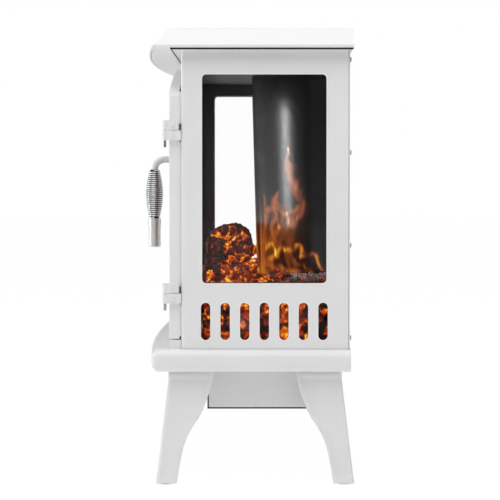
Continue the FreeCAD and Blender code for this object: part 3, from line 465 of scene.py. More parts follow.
def flame_acrylic():
    """Smoked acrylic, back-lit: glossy near-black, with the fire's licks thrown on it.
    fire_share says how much fire there is, and the wisps follow the sheet's own UVs."""
    material, tree = new_material("smoked_acrylic_lit")
    fire = add(tree, "ShaderNodeAttribute", {"attribute_name": "fire_share"})
    where = add(tree, "ShaderNodeUVMap", {"uv_map": "sheet"})
    warp = add(tree, "ShaderNodeTexNoise", {"Scale": 26.0, "Detail": 2.0},
               {"Vector": where.outputs["UV"]})
    bent = add(tree, "ShaderNodeVectorMath", {"operation": "MULTIPLY_ADD",
                                              1: (0.030, 0.030, 0.0)},
               {0: warp.outputs["Color"], 2: where.outputs["UV"]})
    tall = add(tree, "ShaderNodeMapping", {"Scale": (1.0, 0.42, 1.0)},
               {"Vector": bent.outputs[0]})
    wisps = add(tree, "ShaderNodeTexNoise",
                {"noise_type": "RIDGED_MULTIFRACTAL", "normalize": True, "Scale": 62.0,
                 "Detail": 3.0, "Roughness": 0.55}, {"Vector": tall.outputs[0]})
    hot = calc(tree, "MULTIPLY", fire.outputs["Fac"],
               span(tree, wisps.outputs["Fac"], 0.25, 0.75, 0.45, 1.30), clamp=True)
    # yellow-green at the foot of the fire, orange above, pale salmon in the tall tongues
    foot = ramp(tree, hot,
                [(0.0, linear("000000")), (0.20, linear("260E05")), (0.40, linear("8A4414")),
                 (0.56, linear("C88A24")), (0.72, linear("D3B436")), (1.0, linear("DCE060"))])
    tips = ramp(tree, hot,
                [(0.0, linear("000000")), (0.20, linear("341A10")), (0.40, linear("8C4A2C")),
                 (0.58, linear("C87E44")), (0.78, linear("DFA458")), (1.0, linear("EEC870"))])
    parts = add(tree, "ShaderNodeSeparateXYZ", links={0: where.outputs["UV"]})
    colour = add(tree, "ShaderNodeMix", {"data_type": "RGBA"},
                 {"Factor": span(tree, parts.outputs["Y"], 0.055, 0.135),
                  6: foot.outputs["Color"], 7: tips.outputs["Color"]})
    return skinned(material, {"Base Color": linear("0B0B0C"), "Roughness": 0.27, "IOR": 1.49,
                              "Emission Strength": 1.15},
                   {"Emission Color": colour.outputs[2]})


def circuit_laminate():
    """Glass-epoxy board under green solder mask, with tinned pads showing as pale spots."""
    material, tree = new_material("green_solder_mask")
    spots = add(tree, "ShaderNodeTexVoronoi", {"Scale": 1 / (5 * MM)},
                {"Vector": add(tree, "ShaderNodeTexCoord").outputs["Object"]})
    tone = ramp(tree, spots.outputs["Distance"],
                [(0.10, linear("B9BEB4")), (0.16, linear("0E4A26")), (0.6, linear("0A3A1E"))])
    return skinned(material, {"Roughness": 0.35}, {"Base Color": tone.outputs["Color"]})


# ------------------------------------------------------------------ shapes by rule
def run_tree(name, tree, values, base=None):
    """Runs a Geometry Nodes tree with its named sizes set, and keeps the result as a mesh."""
    mesh = base or bpy.data.meshes.new(name)
    obj = link(name, mesh)
    tool = obj.modifiers.new("maker", "NODES")
    tool.node_group = tree
    for item in tree.interface.items_tree:
        if item.in_out == "INPUT" and item.name in values:
            tool[item.identifier] = values[item.name]
    return apply_modifiers(obj)


def new_tree(name, inputs):
    """A Geometry Nodes tree with a geometry input and output and named size inputs."""
    tree = bpy.data.node_groups.new(name, "GeometryNodeTree")
    tree.interface.new_socket("Geometry", in_out="OUTPUT", socket_type="NodeSocketGeometry")
    tree.interface.new_socket("Geometry", in_out="INPUT", socket_type="NodeSocketGeometry")
    for label, kind in inputs:
        tree.interface.new_socket(label, in_out="INPUT", socket_type="NodeSocket" + kind)
    source = add(tree, "NodeGroupInput")
    return tree, source.outputs


def finish_tree(tree, geometry, material):
    """Ends a tree in Realize Instances and Set Material."""
    solid = add(tree, "GeometryNodeRealizeInstances", links={"Geometry": geometry})
    coat = add(tree, "GeometryNodeSetMaterial", {"Material": material},
               {"Geometry": solid.outputs[0]})
    output = add(tree, "NodeGroupOutput")
    tree.links.new(coat.outputs[0], output.inputs[0])


def coil_tree(material):
    """A close-wound wire whose coils swell towards the middle of the grip."""
    tree, size = new_tree("wound_grip", [("Turns", "Float"), ("Length", "Float"),
                                         ("End Radius", "Float"), ("Middle Radius", "Float"),
                                         ("Wire Radius", "Float")])
    spiral = add(tree, "GeometryNodeCurveSpiral",
                 {"Resolution": 36, "Start Radius": 1.0, "End Radius": 1.0},
                 {"Rotations": size["Turns"], "Height": size["Length"]})
    place = add(tree, "GeometryNodeInputPosition")
    parts = add(tree, "ShaderNodeSeparateXYZ", links={0: place.outputs[0]})
    angle = calc(tree, "MULTIPLY", calc(tree, "DIVIDE", parts.outputs["Z"], size["Length"]),
                 math.pi)
    swell = calc(tree, "SUBTRACT", size["Middle Radius"], size["End Radius"])
    radius = calc(tree, "MULTIPLY_ADD", calc(tree, "SINE", angle), swell, size["End Radius"])
    inner = calc(tree, "SUBTRACT", radius, size["Wire Radius"])
    moved = add(tree, "ShaderNodeCombineXYZ",
                links={"X": calc(tree, "MULTIPLY", parts.outputs["X"], inner),
                       "Y": calc(tree, "MULTIPLY", parts.outputs["Y"], inner),
                       "Z": parts.outputs["Z"]})
    placed = add(tree, "GeometryNodeSetPosition",
                 links={"Geometry": spiral.outputs[0], "Position": moved.outputs[0]})
    section = add(tree, "GeometryNodeCurvePrimitiveCircle", {"Resolution": 10},
               {"Radius": size["Wire Radius"]})
    wire = add(tree, "GeometryNodeCurveToMesh", {"Fill Caps": True},
               {"Curve": placed.outputs[0], "Profile Curve": section.outputs[0]})
    finish_tree(tree, wire.outputs[0], material)
    return tree


def stamp_tree(template, material):
    """Puts a copy of one finished shape on every point of the base mesh, turned one way."""
    tree, size = new_tree("stamp_" + template.name, [("Turn", "Rotation")])
    shape = add(tree, "GeometryNodeObjectInfo", {"Object": template})
    copies = add(tree, "GeometryNodeInstanceOnPoints",
                 links={"Points": size["Geometry"], "Instance": shape.outputs["Geometry"],
                        "Rotation": size["Turn"]})
    finish_tree(tree, copies.outputs[0], material)
    return tree


def stamp(name, template, places, direction, material):
    """Copies of a template whose own +Z is turned to a direction, at a list of places."""
    base = bpy.data.meshes.new(name)
    base.from_pydata([tuple(p) for p in places], [], [])
    turn = Vector((0, 0, 1)).rotation_difference(Vector(direction)).to_euler()
    tree = stamp_tree(template, material)
    return run_tree(name, tree, {"Turn": turn}, base)


def coal_tree(templates, material):
    """Scatters lumps over a surface, each turned and sized at random from a fixed seed."""
    tree, size = new_tree("coal_scatter", [("Density", "Float"), ("Least", "Float"),
                                           ("Most", "Float"), ("Seed", "Int")])
    spots = add(tree, "GeometryNodeDistributePointsOnFaces",
                links={"Mesh": size["Geometry"], "Density": size["Density"],
                       "Seed": size["Seed"]})
    lumps = add(tree, "GeometryNodeGeometryToInstance")
    for template in templates:
        shape = add(tree, "GeometryNodeObjectInfo", {"Object": template})
        tree.links.new(shape.outputs["Geometry"], lumps.inputs[0])
    turn = add(tree, "FunctionNodeRandomValue", {"data_type": "FLOAT_VECTOR"})
    turn.inputs[1].default_value = (6.28, 6.28, 6.28)
    scale = add(tree, "FunctionNodeRandomValue", {"data_type": "FLOAT"},
                {2: size["Least"], 3: size["Most"], "Seed": size["Seed"]})
    pick = add(tree, "FunctionNodeRandomValue", {"data_type": "INT", 4: 0,
                                                 5: len(templates) - 1})
    copies = add(tree, "GeometryNodeInstanceOnPoints", {"Pick Instance": True},
                 {"Points": spots.outputs["Points"], "Instance": lumps.outputs[0],
                  "Instance Index": pick.outputs[2], "Rotation": turn.outputs[0],
                  "Scale": scale.outputs[1]})
    finish_tree(tree, copies.outputs[0], material)
    return tree


# ------------------------------------------------------------------ fire
def cracks(point, cell):
    """How deep in a crack between burnt blocks a point lies, from 0 to 1."""
    jitter = noise.noise_vector(Vector(point) / (cell * 1.7)) * 0.35
    near = noise.voronoi(Vector(point) / cell + jitter)[0]
    return 1 - smooth_step(0.02, 0.30, near[1] - near[0])


def set_values(obj, name, values):
    """Stores one number per point on a piece, for its material to read."""
    layer = obj.data.attributes.new(name, "FLOAT", "POINT")
    layer.data.foreach_set("value", values)


def lump(name, seed, cell=0.45):
    """One unit-sized coal with a few dozen faces."""
    shape = bmesh.new()
    bmesh.ops.create_icosphere(shape, subdivisions=2, radius=0.5)
    heat = []
    for vert in shape.verts:
        push = noise.noise(vert.co * 2.2 + Vector((seed * 7.3, 0, 0)))
        facet = noise.voronoi(vert.co * 2.0 + Vector((0, seed * 3.1, 0)))[0][0]
        vert.co *= 0.82 + 0.30 * push + 0.22 * facet
        vert.co.z *= 0.8
        heat.append(0.55 + 0.9 * noise.noise(vert.co / cell + Vector((0, 0, seed * 5.7))))
    mesh = bpy.data.meshes.new(name)
    shape.to_mesh(mesh)
    shape.free()
    obj = link(name, mesh)
    set_values(obj, "glow_depth", [min(1.0, max(0.0, h)) for h in heat])
    return obj


def burnt_log(name, start, end, radius_a, radius_b, seed, cell=13 * MM, wide=1.0,
              ragged=0.07, streak=()):
    """A log burnt to blocks between two points, with broken ends. A streak is a pair of
    points that a bright open split runs between."""
    start = Vector(start)
    end = Vector(end)
    axis = (end - start).normalized()
    across = axis.cross(Vector((0, 0, 1)) if abs(axis.z) < 0.8 else Vector((0, 1, 0)))
    across.normalize()
    upward = across.cross(axis).normalized()
    length = (end - start).length
    steps = max(12, int(length / (2.2 * MM)))
    around = max(24, int(2 * math.pi * radius_a / (2.0 * MM)))

    def glow(point, deep):
        if not streak:
            return deep
        a = Vector(streak[0])
        b = Vector(streak[1])
        share = min(1.0, max(0.0, (point - a).dot(b - a) / (b - a).length_squared))
        away = (point - a - (b - a) * share).length
        away += 1.2 * MM * noise.noise(point / (6 * MM))
        return max(deep, 2.2 * (1 - smooth_step(0.6 * MM, 3.0 * MM, away)))

    rows = []
    for step in range(steps + 1):
        share = step / steps
        radius = radius_a + (radius_b - radius_a) * share
        ends = min(share, 1 - share) * length
        radius *= 1 - 0.16 * (1 - smooth_step(0, 5 * MM, ends))
        row = []
        for index in range(around):
            turn = 2 * math.pi * index / around
            out = across * math.cos(turn) * wide + upward * math.sin(turn)
            spot = start + axis * length * share + out * radius
            probe = spot + Vector((seed * 0.31, seed * 0.17, 0))
            deep = cracks(probe, cell)
            knobs = noise.voronoi(probe / (0.55 * cell))[0][0]
            r = radius * (0.93 + 0.05 * noise.noise(probe / (55 * MM))
                          + ragged * noise.noise(probe / (15 * MM)))
            r += 0.9 * MM - 2.6 * MM * deep - 3.0 * MM * knobs
            place = start + axis * length * share + out * r
            if ends < 4 * MM:
                place += axis * 2.5 * MM * noise.noise(probe / (9 * MM))
            row.append((place, glow(place, deep)))
        rows.append(row)
    for at_end in (False, True):
        edge = rows[-1] if at_end else rows[0]
        middle = sum((place for place, deep in edge), Vector()) / around
        inward = -axis if at_end else axis
        for grow in (0.86, 0.72, 0.58, 0.44, 0.30, 0.16, 0.05):
            row = []
            for place, deep in edge:
                spot = middle + (place - middle) * grow
                probe = spot + Vector((seed * 0.11, 0, 0))
                deep = cracks(probe, cell * 0.85)
                knobs = noise.voronoi(probe / (0.5 * cell))[0][0]
                spot += inward * (1.0 * MM + 2.6 * MM * deep + 2.6 * MM * knobs)
                row.append((spot, glow(spot, deep)))
            if at_end:
                rows.append(row)
            else:
                rows.insert(0, row)
    points, faces = loft([[place for place, deep in row] for row in rows])
    obj = mesh_object(name, points, faces)
    set_values(obj, "glow_depth", [deep for row in rows for place, deep in row])
    return obj


def moulded_bed(name, node, step=3.4 * MM, depth=4.0 * MM, reach=80 * MM):
    """A shell of coals moulded in one piece: its skirt and its top, up to reach inwards."""
    low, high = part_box(node)
    corner = 7 * MM
    loops = []

    def outline(z, inset, around=360):
        """A rounded rectangle as evenly stepped points."""
        loop = []
        half_x = (high.x - low.x) / 2 - inset
        half_y = (high.y - low.y) / 2 - inset
        radius = max(0.5 * MM, corner - inset)
        per = 4 * (half_x + half_y)
        for index in range(around):
            s = per * index / around
            if s < 2 * half_x:
                p = (s - half_x, -half_y)
            elif s < 2 * half_x + 2 * half_y:
                p = (half_x, s - 2 * half_x - half_y)
            elif s < 4 * half_x + 2 * half_y:
                p = (half_x - (s - 2 * half_x - 2 * half_y), half_y)
            else:
                p = (-half_x, half_y - (s - 4 * half_x - 2 * half_y))
            over_x = max(0.0, abs(p[0]) - (half_x - radius))
            over_y = max(0.0, abs(p[1]) - (half_y - radius))
            reach_over = math.hypot(over_x, over_y)
            x, y = p
            if over_x > 0 and over_y > 0 and reach_over > radius:
                x = math.copysign(half_x - radius + over_x * radius / reach_over, p[0])
                y = math.copysign(half_y - radius + over_y * radius / reach_over, p[1])
            loop.append(Vector(((low.x + high.x) / 2 + x, (low.y + high.y) / 2 + y, z)))
        return loop

    rows = max(2, int((high.z - low.z) / step))
    levels = [(low.z + (high.z - low.z) * row / rows, 0.0) for row in range(rows + 1)]
    inset = step
    while inset < reach:
        levels.append((high.z, inset))
        inset += step
    heat = []
    for z, inset in levels:
        loop = outline(z, inset)
        shaped = []
        centre = Vector(((low.x + high.x) / 2, (low.y + high.y) / 2, z))
        for point in loop:
            near = noise.voronoi(point / (13 * MM))[0]
            rise = smooth_step(0.0, 0.45, near[1] - near[0])
            rough = 0.5 + 0.5 * noise.fractal(point / (9 * MM), 1.0, 2.0, 3)
            sink = depth * (1 - rise) + 0.35 * depth * rough
            if inset > 0:
                shaped.append(point - Vector((0, 0, sink)))
            else:
                away = Vector((0, 0, 0))
                if abs(point.x - centre.x) > (high.x - low.x) / 2 - corner:
                    away.x = math.copysign(1, point.x - centre.x)
                if abs(point.y - centre.y) > (high.y - low.y) / 2 - corner:
                    away.y = math.copysign(1, point.y - centre.y)
                shaped.append(point - away * sink)
            heat.append(1 - rise)
        loops.append(shaped)
    points, faces = loft(loops, closed_ends=False)
    count = len(loops[0])
    faces.append(tuple(range((len(loops) - 1) * count, len(loops) * count)))
    obj = mesh_object(name, points, faces)
    set_values(obj, "glow_depth", heat)
    thick = obj.modifiers.new("wall", "SOLIDIFY")
    thick.thickness = 1.6 * MM
    thick.offset = -1
    return apply_modifiers(obj)


# the fire thrown on each end of the screen, as brush strokes in millimetres. Every stroke has
# a brightness, then stops of (forward of the back edge, above the bed, half width)
STROKES = [
    (0.82, [(60, 76, 8), (50, 94, 7), (45, 106, 4), (50, 119, 5), (56, 132, 6), (60, 148, 5),
            (62, 166, 3), (63, 183, 0.8)]),
    (0.70, [(58, 138, 4), (65, 154, 3), (68, 166, 0.8)]),
    (0.92, [(99, 50, 7), (95, 78, 8), (98, 104, 5), (99, 126, 1)]),
    (0.80, [(86, 55, 10), (83, 84, 10), (79, 106, 6), (77, 123, 1)]),
    (0.86, [(90, 96, 6), (78, 100, 5), (68, 93, 4), (56, 96, 4), (47, 104, 4)]),
    (0.74, [(84, 62, 10), (70, 74, 10), (58, 80, 7)]),
    (1.00, [(103, 54, 4), (96, 40, 4), (87, 51, 3), (79, 33, 4)]),
    (1.00, [(88, 28, 5), (72, 47, 4), (61, 42, 4), (56, 30, 4)]),
    (0.82, [(97, 22, 7), (80, 20, 6), (65, 17, 6), (50, 14, 5)]),
    (0.96, [(58, 43, 3), (52, 51, 3), (48, 54, 2.4), (45, 44, 2.6), (44, 36, 3), (38, 37, 3),
            (33, 41, 2.6), (28, 38, 2.4), (24, 31, 2.4), (18, 18, 1.6)]),
    (0.62, [(53, 25, 5), (42, 21, 4), (30, 16, 3)]),
    (0.64, [(90, 34, 15), (82, 62, 18), (74, 94, 13)]),
    (0.56, [(62, 28, 12), (64, 66, 12)]),
    (0.80, [(104, 8, 8), (70, 6, 8), (36, 3, 4)])]
STROKE_REACH = 3.2
STROKE_FADE = 0.55
# the tongues across the front: how far round the screen, half width, height, lean
LICKS = [(0.345, 0.030, 0.104, 0.012), (0.385, 0.030, 0.128, -0.010), (0.420, 0.028, 0.094, 0.016),
         (0.455, 0.030, 0.140, 0.010), (0.500, 0.034, 0.165, -0.014), (0.365, 0.050, 0.052, 0.0),
         (0.440, 0.060, 0.060, 0.0)]


def stroke_at(forward, height):
    """The brightest stroke at a place on the end of the screen."""
    best = 0.0
    for bright, stops in STROKES:
        for a, b in zip(stops, stops[1:]):
            run = (b[0] - a[0], b[1] - a[1])
            share = ((forward - a[0]) * run[0] + (height - a[1]) * run[1])
            share = min(1.0, max(0.0, share / (run[0] ** 2 + run[1] ** 2)))
            width = a[2] + (b[2] - a[2]) * share
            away = math.hypot(forward - a[0] - run[0] * share, height - a[1] - run[1] * share)
            if away < STROKE_REACH * width:
                fade = math.exp(-STROKE_FADE * (away / width) ** 2)
                best = max(best, bright * fade)
    return best


def fire_at(turn, height, forward):
    """How much fire shows at a place on the screen, from 0 to 1."""
    side = min(turn, 1 - turn)
    other = turn > 0.5
    tall = height * (1.10 if other else 1.0)
    spot = Vector((forward, tall, 0.004 * other))
    sway = 3.4 * noise.noise(spot * 55) + 1.7 * noise.noise(spot * 140)
    lift = 3.4 * noise.noise(spot * 55 + Vector((7, 3, 1))) + 1.7 * noise.noise(spot * 150)
    ends = stroke_at(forward / MM + sway, tall / MM + lift)
    wisps = 1 - abs(noise.noise(Vector((forward * 95 + sway * 0.1, tall * 38, 2.0)))) * 2.1
    ends *= 0.80 + 0.44 * wisps
    wobble = 0.014 * noise.noise(Vector((turn * 11, height * 18, 3.0)))
    front = 0.0
    for foot, half, top, lean in LICKS:
        rise = height / (top * (0.88 if other else 1.0))
        if rise < 1.0:
            middle = foot + lean * math.sin(rise * 3.2) + wobble
            width = half * (1 - rise) ** 0.75 + 0.003
            front = max(front, math.exp(-1.3 * ((side - middle) / width) ** 2)
                        * (1 - rise ** 3))
    share = smooth_step(0.325, 0.365, side)
    return (ends * (1 - share) + front * share) * smooth_step(-0.002, 0.008, height)


def make_flame_screen(material):
    """The curved sheet, fine enough to carry the picture of the fire."""
    low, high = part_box("flame_screen")
    half = high.x
    lean = 8 * MM
    thick = 3 * MM
    wide_steps = 300
    tall_steps = 110
    points = []
    flame = []
    for wall in (0.0, thick):
        for row in range(tall_steps + 1):
            share = row / tall_steps
            z = low.z + (high.z - low.z) * share
            depth = high.y - low.y - lean * (1 - share)
            for column in range(wide_steps + 1):
                turn = column / wide_steps
                angle = math.pi * turn
                points.append(Vector(((half - wall) * math.cos(angle),
                                      high.y - (depth - wall) * math.sin(angle), z)))
                forward = high.y - points[-1].y
                flame.append(fire_at(turn, z - low.z, forward) if wall == 0.0 else 0.0)
    count = wide_steps + 1
    sheet = count * (tall_steps + 1)
    faces = []
    for offset in (0, sheet):
        for row in range(tall_steps):
            for column in range(wide_steps):
                a = offset + row * count + column
                faces.append((a, a + 1, a + 1 + count, a + count))
    for row in range(tall_steps):
        for column in (0, wide_steps):
            a = row * count + column
            faces.append((a, a + count, a + count + sheet, a + sheet))
    for column in range(wide_steps):
        for row in (0, tall_steps):
            a = row * count + column
            faces.append((a, a + 1, a + 1 + sheet, a + sheet))
    obj = mesh_object("flame_screen_sheet", points, faces)
    set_values(obj, "fire_share", flame)
    layer = obj.data.uv_layers.new(name="sheet")
    arc = 0.70
    for loop in obj.data.loops:
        index = loop.vertex_index % sheet
        layer.data[loop.index].uv = ((index % count) / wide_steps * arc,
                                     (index // count) / tall_steps * (high.z - low.z))
    return settle(obj, BODY, material, ["flame_screen"])


def lie(node):
    """The ends and end radius of a CAD log that lies along X or Y, right or back end first."""
    low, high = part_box(node)
    size = high - low
    radius = size.z / 2
    middle = (low + high) / 2
    start = Vector((middle.x, middle.y, low.z + radius))
    end = Vector((middle.x, middle.y, low.z + radius * 0.86))
    axis = 0 if size.x > size.y else 1
    start[axis] = high[axis]
    end[axis] = low[axis]
    return start, end, radius


def scatter(name, tree, corners, seed, density, least, most, rise=0.0):
    """Coals over a patch between two corners, heaped up by rise in its middle."""
    low, high = corners
    steps = 8
    points = []
    faces = []
    for row in range(steps + 1):
        for column in range(steps + 1):
            u = column / steps
            v = row / steps
            hump = math.sin(math.pi * u) ** 0.5 * math.sin(math.pi * v) if 0 < u < 1 else 0.0
            points.append((low.x + (high.x - low.x) * u, low.y + (high.y - low.y) * v,
                           low.z + rise * max(0.0, hump)))
    for row in range(steps):
        for column in range(steps):
            a = row * (steps + 1) + column
            faces.append((a, a + 1, a + steps + 2, a + steps + 1))
    base = bpy.data.meshes.new(name)
    base.from_pydata(points, [], faces)
    made = run_tree(name, tree, {"Density": density, "Least": least, "Most": most,
                                 "Seed": seed}, base)
    settle(made, BODY)


def make_fire(log_paint, coal_paint, ember_paint, ash_paint, hot_paint, soot_paint):
    """Logs, coals and the glowing bed under them."""
    start, end, radius = lie("log_front")
    split = (start + Vector((-1, -7, 0)) * MM, start + Vector((-2, 22, 21)) * MM)
    logs = [("log_front", start, end, radius, 0.85, 1, 13 * MM, 1.12, split, log_paint)]
    end, start, radius = lie("log_left")
    logs.append(("log_left", start, end, radius, 0.88, 2, 13 * MM, 1.0, (), log_paint))
    start, end, radius = lie("log_small")
    logs.append(("log_small", start, end, radius, 0.8, 3, 7 * MM, 1.0, (), log_paint))
    start, end, radius = lie("log_ash")
    logs.append(("log_ash", start, end, radius, 0.85, 4, 6 * MM, 1.0, (), ash_paint))
    for node, start, end, radius, taper, seed, cell, wide, streak, material in logs:
        bark = burnt_log(node + "_bark", start, end, radius, radius * taper, seed, cell, wide,
                         streak=streak)
        settle(bark, BODY, material, [node])
    settle(moulded_bed("ember_bed_moulding", "ember_bed"), BODY, ember_paint,
           ["ember_bed"])
    settle(moulded_bed("coal_heap_moulding", "coal_heap", reach=28 * MM, depth=3.0 * MM), BODY,
           hot_paint, ["coal_heap"])
    heap_low, heap_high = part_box("coal_heap")
    bed_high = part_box("ember_bed")[1]
    screen_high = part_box("flame_screen")[1]
    # burning branches half sunk in the heap's ends, and a charred stump at the front: each from
    # one end to the other, in mm inwards, back and up from the heap's top front corner
    branches = [("branch_low_", (0, 12, -4), (6, 50, 1), 12, 13.5, 0, 9, hot_paint),
                ("branch_cross_", (-4, 41, -6), (12, 69, 11), 10.5, 9, 1, 8, hot_paint),
                ("stump_", (4, 11, -2), (10, 14, 43), 15, 12, 2, 7, soot_paint)]
    for side, name, seed in ((1, "right", 11), (-1, "left", 15)):
        corner = Vector((side * (heap_high.x - 10 * MM), heap_low.y, heap_high.z))
        for label, a, b, radius_a, radius_b, extra, cell, material in branches:
            start, end = (corner + Vector((-side * q[0], q[1], q[2])) * MM for q in (a, b))
            settle(burnt_log(label + name, start, end, radius_a * MM, radius_b * MM,
                             seed + extra, cell * MM), BODY, material)
    lumps = [lump("lump_%d" % index, index) for index in range(4)]
    tree = coal_tree(lumps, coal_paint)
    hot_tree = coal_tree(lumps, hot_paint)
    edge = 4 * MM
    scatter("coals_front", tree,
            (Vector((heap_low.x + edge, heap_low.y + edge, heap_high.z)),
             Vector((heap_high.x - edge, heap_high.y - edge, heap_high.z))),
            5, 7000.0, 7 * MM, 14 * MM)
    near = screen_high.x + 3 * MM
    edge = 6 * MM
    far = bed_high.x - edge
    for side, name, seed in ((1, "right", 6), (-1, "left", 8)):
        low_x, high_x = (near, far) if side > 0 else (-far, -near)
        scatter("coals_" + name, tree,
                (Vector((low_x, heap_high.y - 2 * MM, bed_high.z + 1 * MM)),
                 Vector((high_x, bed_high.y - edge, bed_high.z + 1 * MM))), seed, 9000.0,
                5 * MM, 10 * MM)
        scatter("hot_coals_" + name, hot_tree,
                (Vector((low_x, heap_high.y + 12 * MM, bed_high.z + 3 * MM)),
                 Vector((high_x, heap_high.y + 62 * MM, bed_high.z + 3 * MM))), seed + 20,
                26000.0, 7 * MM, 12 * MM, 16 * MM)
    for template in lumps:
        bpy.data.objects.remove(template)


# ------------------------------------------------------------------ metalwork
# the leg's width in each face at shares of its height, foot first
LEG_WIDTHS = [(0.0, 27.5), (0.15, 28.0), (0.30, 30.0), (0.40, 33.0), (0.50, 39.0),
              (0.60, 47.0), (0.70, 52.0), (0.84, 56.5), (1.0, 60.0)]
LEG_WALL = 7 * MM
LEG_RIM = 4.5 * MM
LEG_RECESS = 0.9 * MM
LEG_ROUND = 4.0 * MM
FOOT_CLEAR = 1.2 * MM


def leg_loop(z, out, width, recess):
    """The cast leg's section: a rounded corner and a raised rim down each inner edge."""
    face = [(width, 0.9 * MM), (width - 1.2 * MM, 0.0), (width - LEG_RIM, 0.0),
            (width - LEG_RIM - 1.4 * MM, recess), (LEG_ROUND + 3.6 * MM, recess),
            (LEG_ROUND + 1.8 * MM, 0.0), (LEG_ROUND, 0.0)]
    loop = [(out - a, out - s) for a, s in face]
    for step in range(1, 6):
        turn = math.pi / 2 * step / 6
        loop.append((out - LEG_ROUND + LEG_ROUND * math.sin(turn),
                     out - LEG_ROUND + LEG_ROUND * math.cos(turn)))
    loop += [(out - s, out - a) for a, s in reversed(face)]
    inner = out - LEG_WALL
    loop += [(inner, out - width), (inner, inner), (out - width, inner)]
    return [Vector((x, y, z)) for x, y in loop]


def make_leg(node, side, end, material):
    """One cabriole leg in cast metal, with a foot ledge and a stepped top."""
    low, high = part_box(node)
    height = high.z
    corner_x = high.x if side > 0 else -low.x
    corner_y = high.y if end > 0 else -low.y
    flare = 17 * MM
    loops = []
    rows = 44
    for row in range(rows + 1):
        share = row / rows
        z = FOOT_CLEAR + (high.z - FOOT_CLEAR) * share
        out = -flare * (z / height)
        width = between(LEG_WIDTHS, z / height) * MM
        recess = LEG_RECESS * smooth_step(0.03, 0.10, share) * (1 - smooth_step(0.90, 0.96, share))
        step_out = -0.9 * MM * (1 - smooth_step(0.935, 0.955, share))
        ledge = 0.5 * MM * (1 - smooth_step(0.025, 0.05, share))
        loops.append(leg_loop(z, out + step_out + ledge, width, recess))
    points, faces = loft(loops)
    points = [Vector((side * (corner_x + p.x), end * (corner_y + p.y), p.z)) for p in points]
    obj = mesh_object(node + "_casting", points, faces, smooth=False)
    bevel_edges(obj, 0.5 * MM, 2, 35)
    for face in obj.data.polygons:
        face.use_smooth = True
    return settle(obj, BODY, material, [node])


def screw_head(name, radius=3.4 * MM, height=2.0 * MM):
    """A pan head with a cross recess, standing on z = 0."""
    loops = []
    sides = 24
    for share, rise in ((1.0, 0.0), (1.0, 0.35), (0.92, 0.72), (0.74, 0.93), (0.5, 1.0)):
        loops.append(ring((0, 0), radius * share, height * rise, sides))
    points, faces = loft(loops)
    head = mesh_object(name, points, faces)
    cutter_points = []
    cutter_faces = []
    blade = 0.10 * radius
    for turn in (0, 90):
        rot = Matrix.Rotation(math.radians(turn), 4, "Z")
        add_block(cutter_points, cutter_faces,
                  [rot @ Vector((x, y, z))
                   for z, half in ((height * 0.45, radius * 0.30), (height * 1.2, radius * 0.62))
                   for x, y in ((-half, -blade), (half, -blade), (half, blade), (-half, blade))])
    cutter = mesh_object(name + "_cross", cutter_points, cutter_faces, smooth=False)
    tool = head.modifiers.new("cross", "BOOLEAN")
    tool.operation = "DIFFERENCE"
    tool.solver = "EXACT"
    tool.use_self = True
    tool.object = cutter
    apply_modifiers(head)
    bpy.data.objects.remove(cutter)
    return head


def make_screws(material, painted):
    """Pan-head screws: the rear cover's, the hinge leaves' and the control panel's."""
    head = screw_head("pan_head")
    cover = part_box("rear_cover")[1]
    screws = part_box("rear_cover_screws")
    x = screws[1].x - 3.4 * MM
    z_low = screws[0].z + 3.4 * MM
    z_high = screws[1].z - 3.4 * MM
    places = []
    for step in range(4):
        z = z_low + (z_high - z_low) * step / 3
        places += [(x, cover.y, z), (-x, cover.y, z)]
    rear = stamp("rear_screws", head, places, (0, 1, 0), material)
    settle(rear, BODY, None, ["rear_cover_screws"])
    panel_low, panel_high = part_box("control_panel")
    edge = 9 * MM
    places = [(sx, panel_low.y, sz) for sx in (panel_low.x + edge, panel_high.x - edge)
              for sz in (panel_low.z + edge, panel_high.z - edge)]
    settle(stamp("panel_screws", head, places, (0, -1, 0), material), BODY)
    leaf_low, leaf_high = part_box("cabinet_hinge_leaves")
    door_low, door_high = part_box("door_hinge_leaves")
    middle_y = (leaf_low.y + leaf_high.y) / 2 + 3 * MM
    half = 6.4 * MM
    small = screw_head("leaf_head", 2.2 * MM, 1.0 * MM)
    for name, body, low, high in (("cabinet_leaf_screws", BODY, leaf_low, leaf_high),
                                  ("door_leaf_screws", "door", door_low, door_high)):
        places = [(high.x, middle_y, low.z + half), (high.x, middle_y, high.z - half)]
        settle(stamp(name, small, places, (1, 0, 0), painted), body)
    bpy.data.objects.remove(head)
    bpy.data.objects.remove(small)


def make_grip(material, liner):
    """The wound wire grip that stays cool on the door handle."""
    low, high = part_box("handle_spring")
    wire = 1.12 * MM
    end_radius = 8.9 * MM
    swell = (high.x - low.x) / 2
    length = high.z - low.z
    coil = run_tree("handle_coil", coil_tree(material),
                    {"Turns": 23.0, "Length": length - 2 * wire, "End Radius": end_radius,
                     "Middle Radius": swell, "Wire Radius": wire})
    middle = Vector(((low.x + high.x) / 2, (low.y + high.y) / 2, low.z + wire))
    coil.data.transform(Matrix.Translation(middle))
    for face in coil.data.polygons:
        face.use_smooth = True
    settle(coil, "door", material, ["handle_spring"])
    loops = []
    for step in range(25):
        share = step / 24
        reach = end_radius + (swell - end_radius) * math.sin(math.pi * share)
        reach -= 2 * wire - 0.5 * MM
        loops.append(ring(middle, reach, low.z + length * share, 32))
    points, faces = loft(loops)
    settle(mesh_object("grip_liner", points, faces), "door", liner)


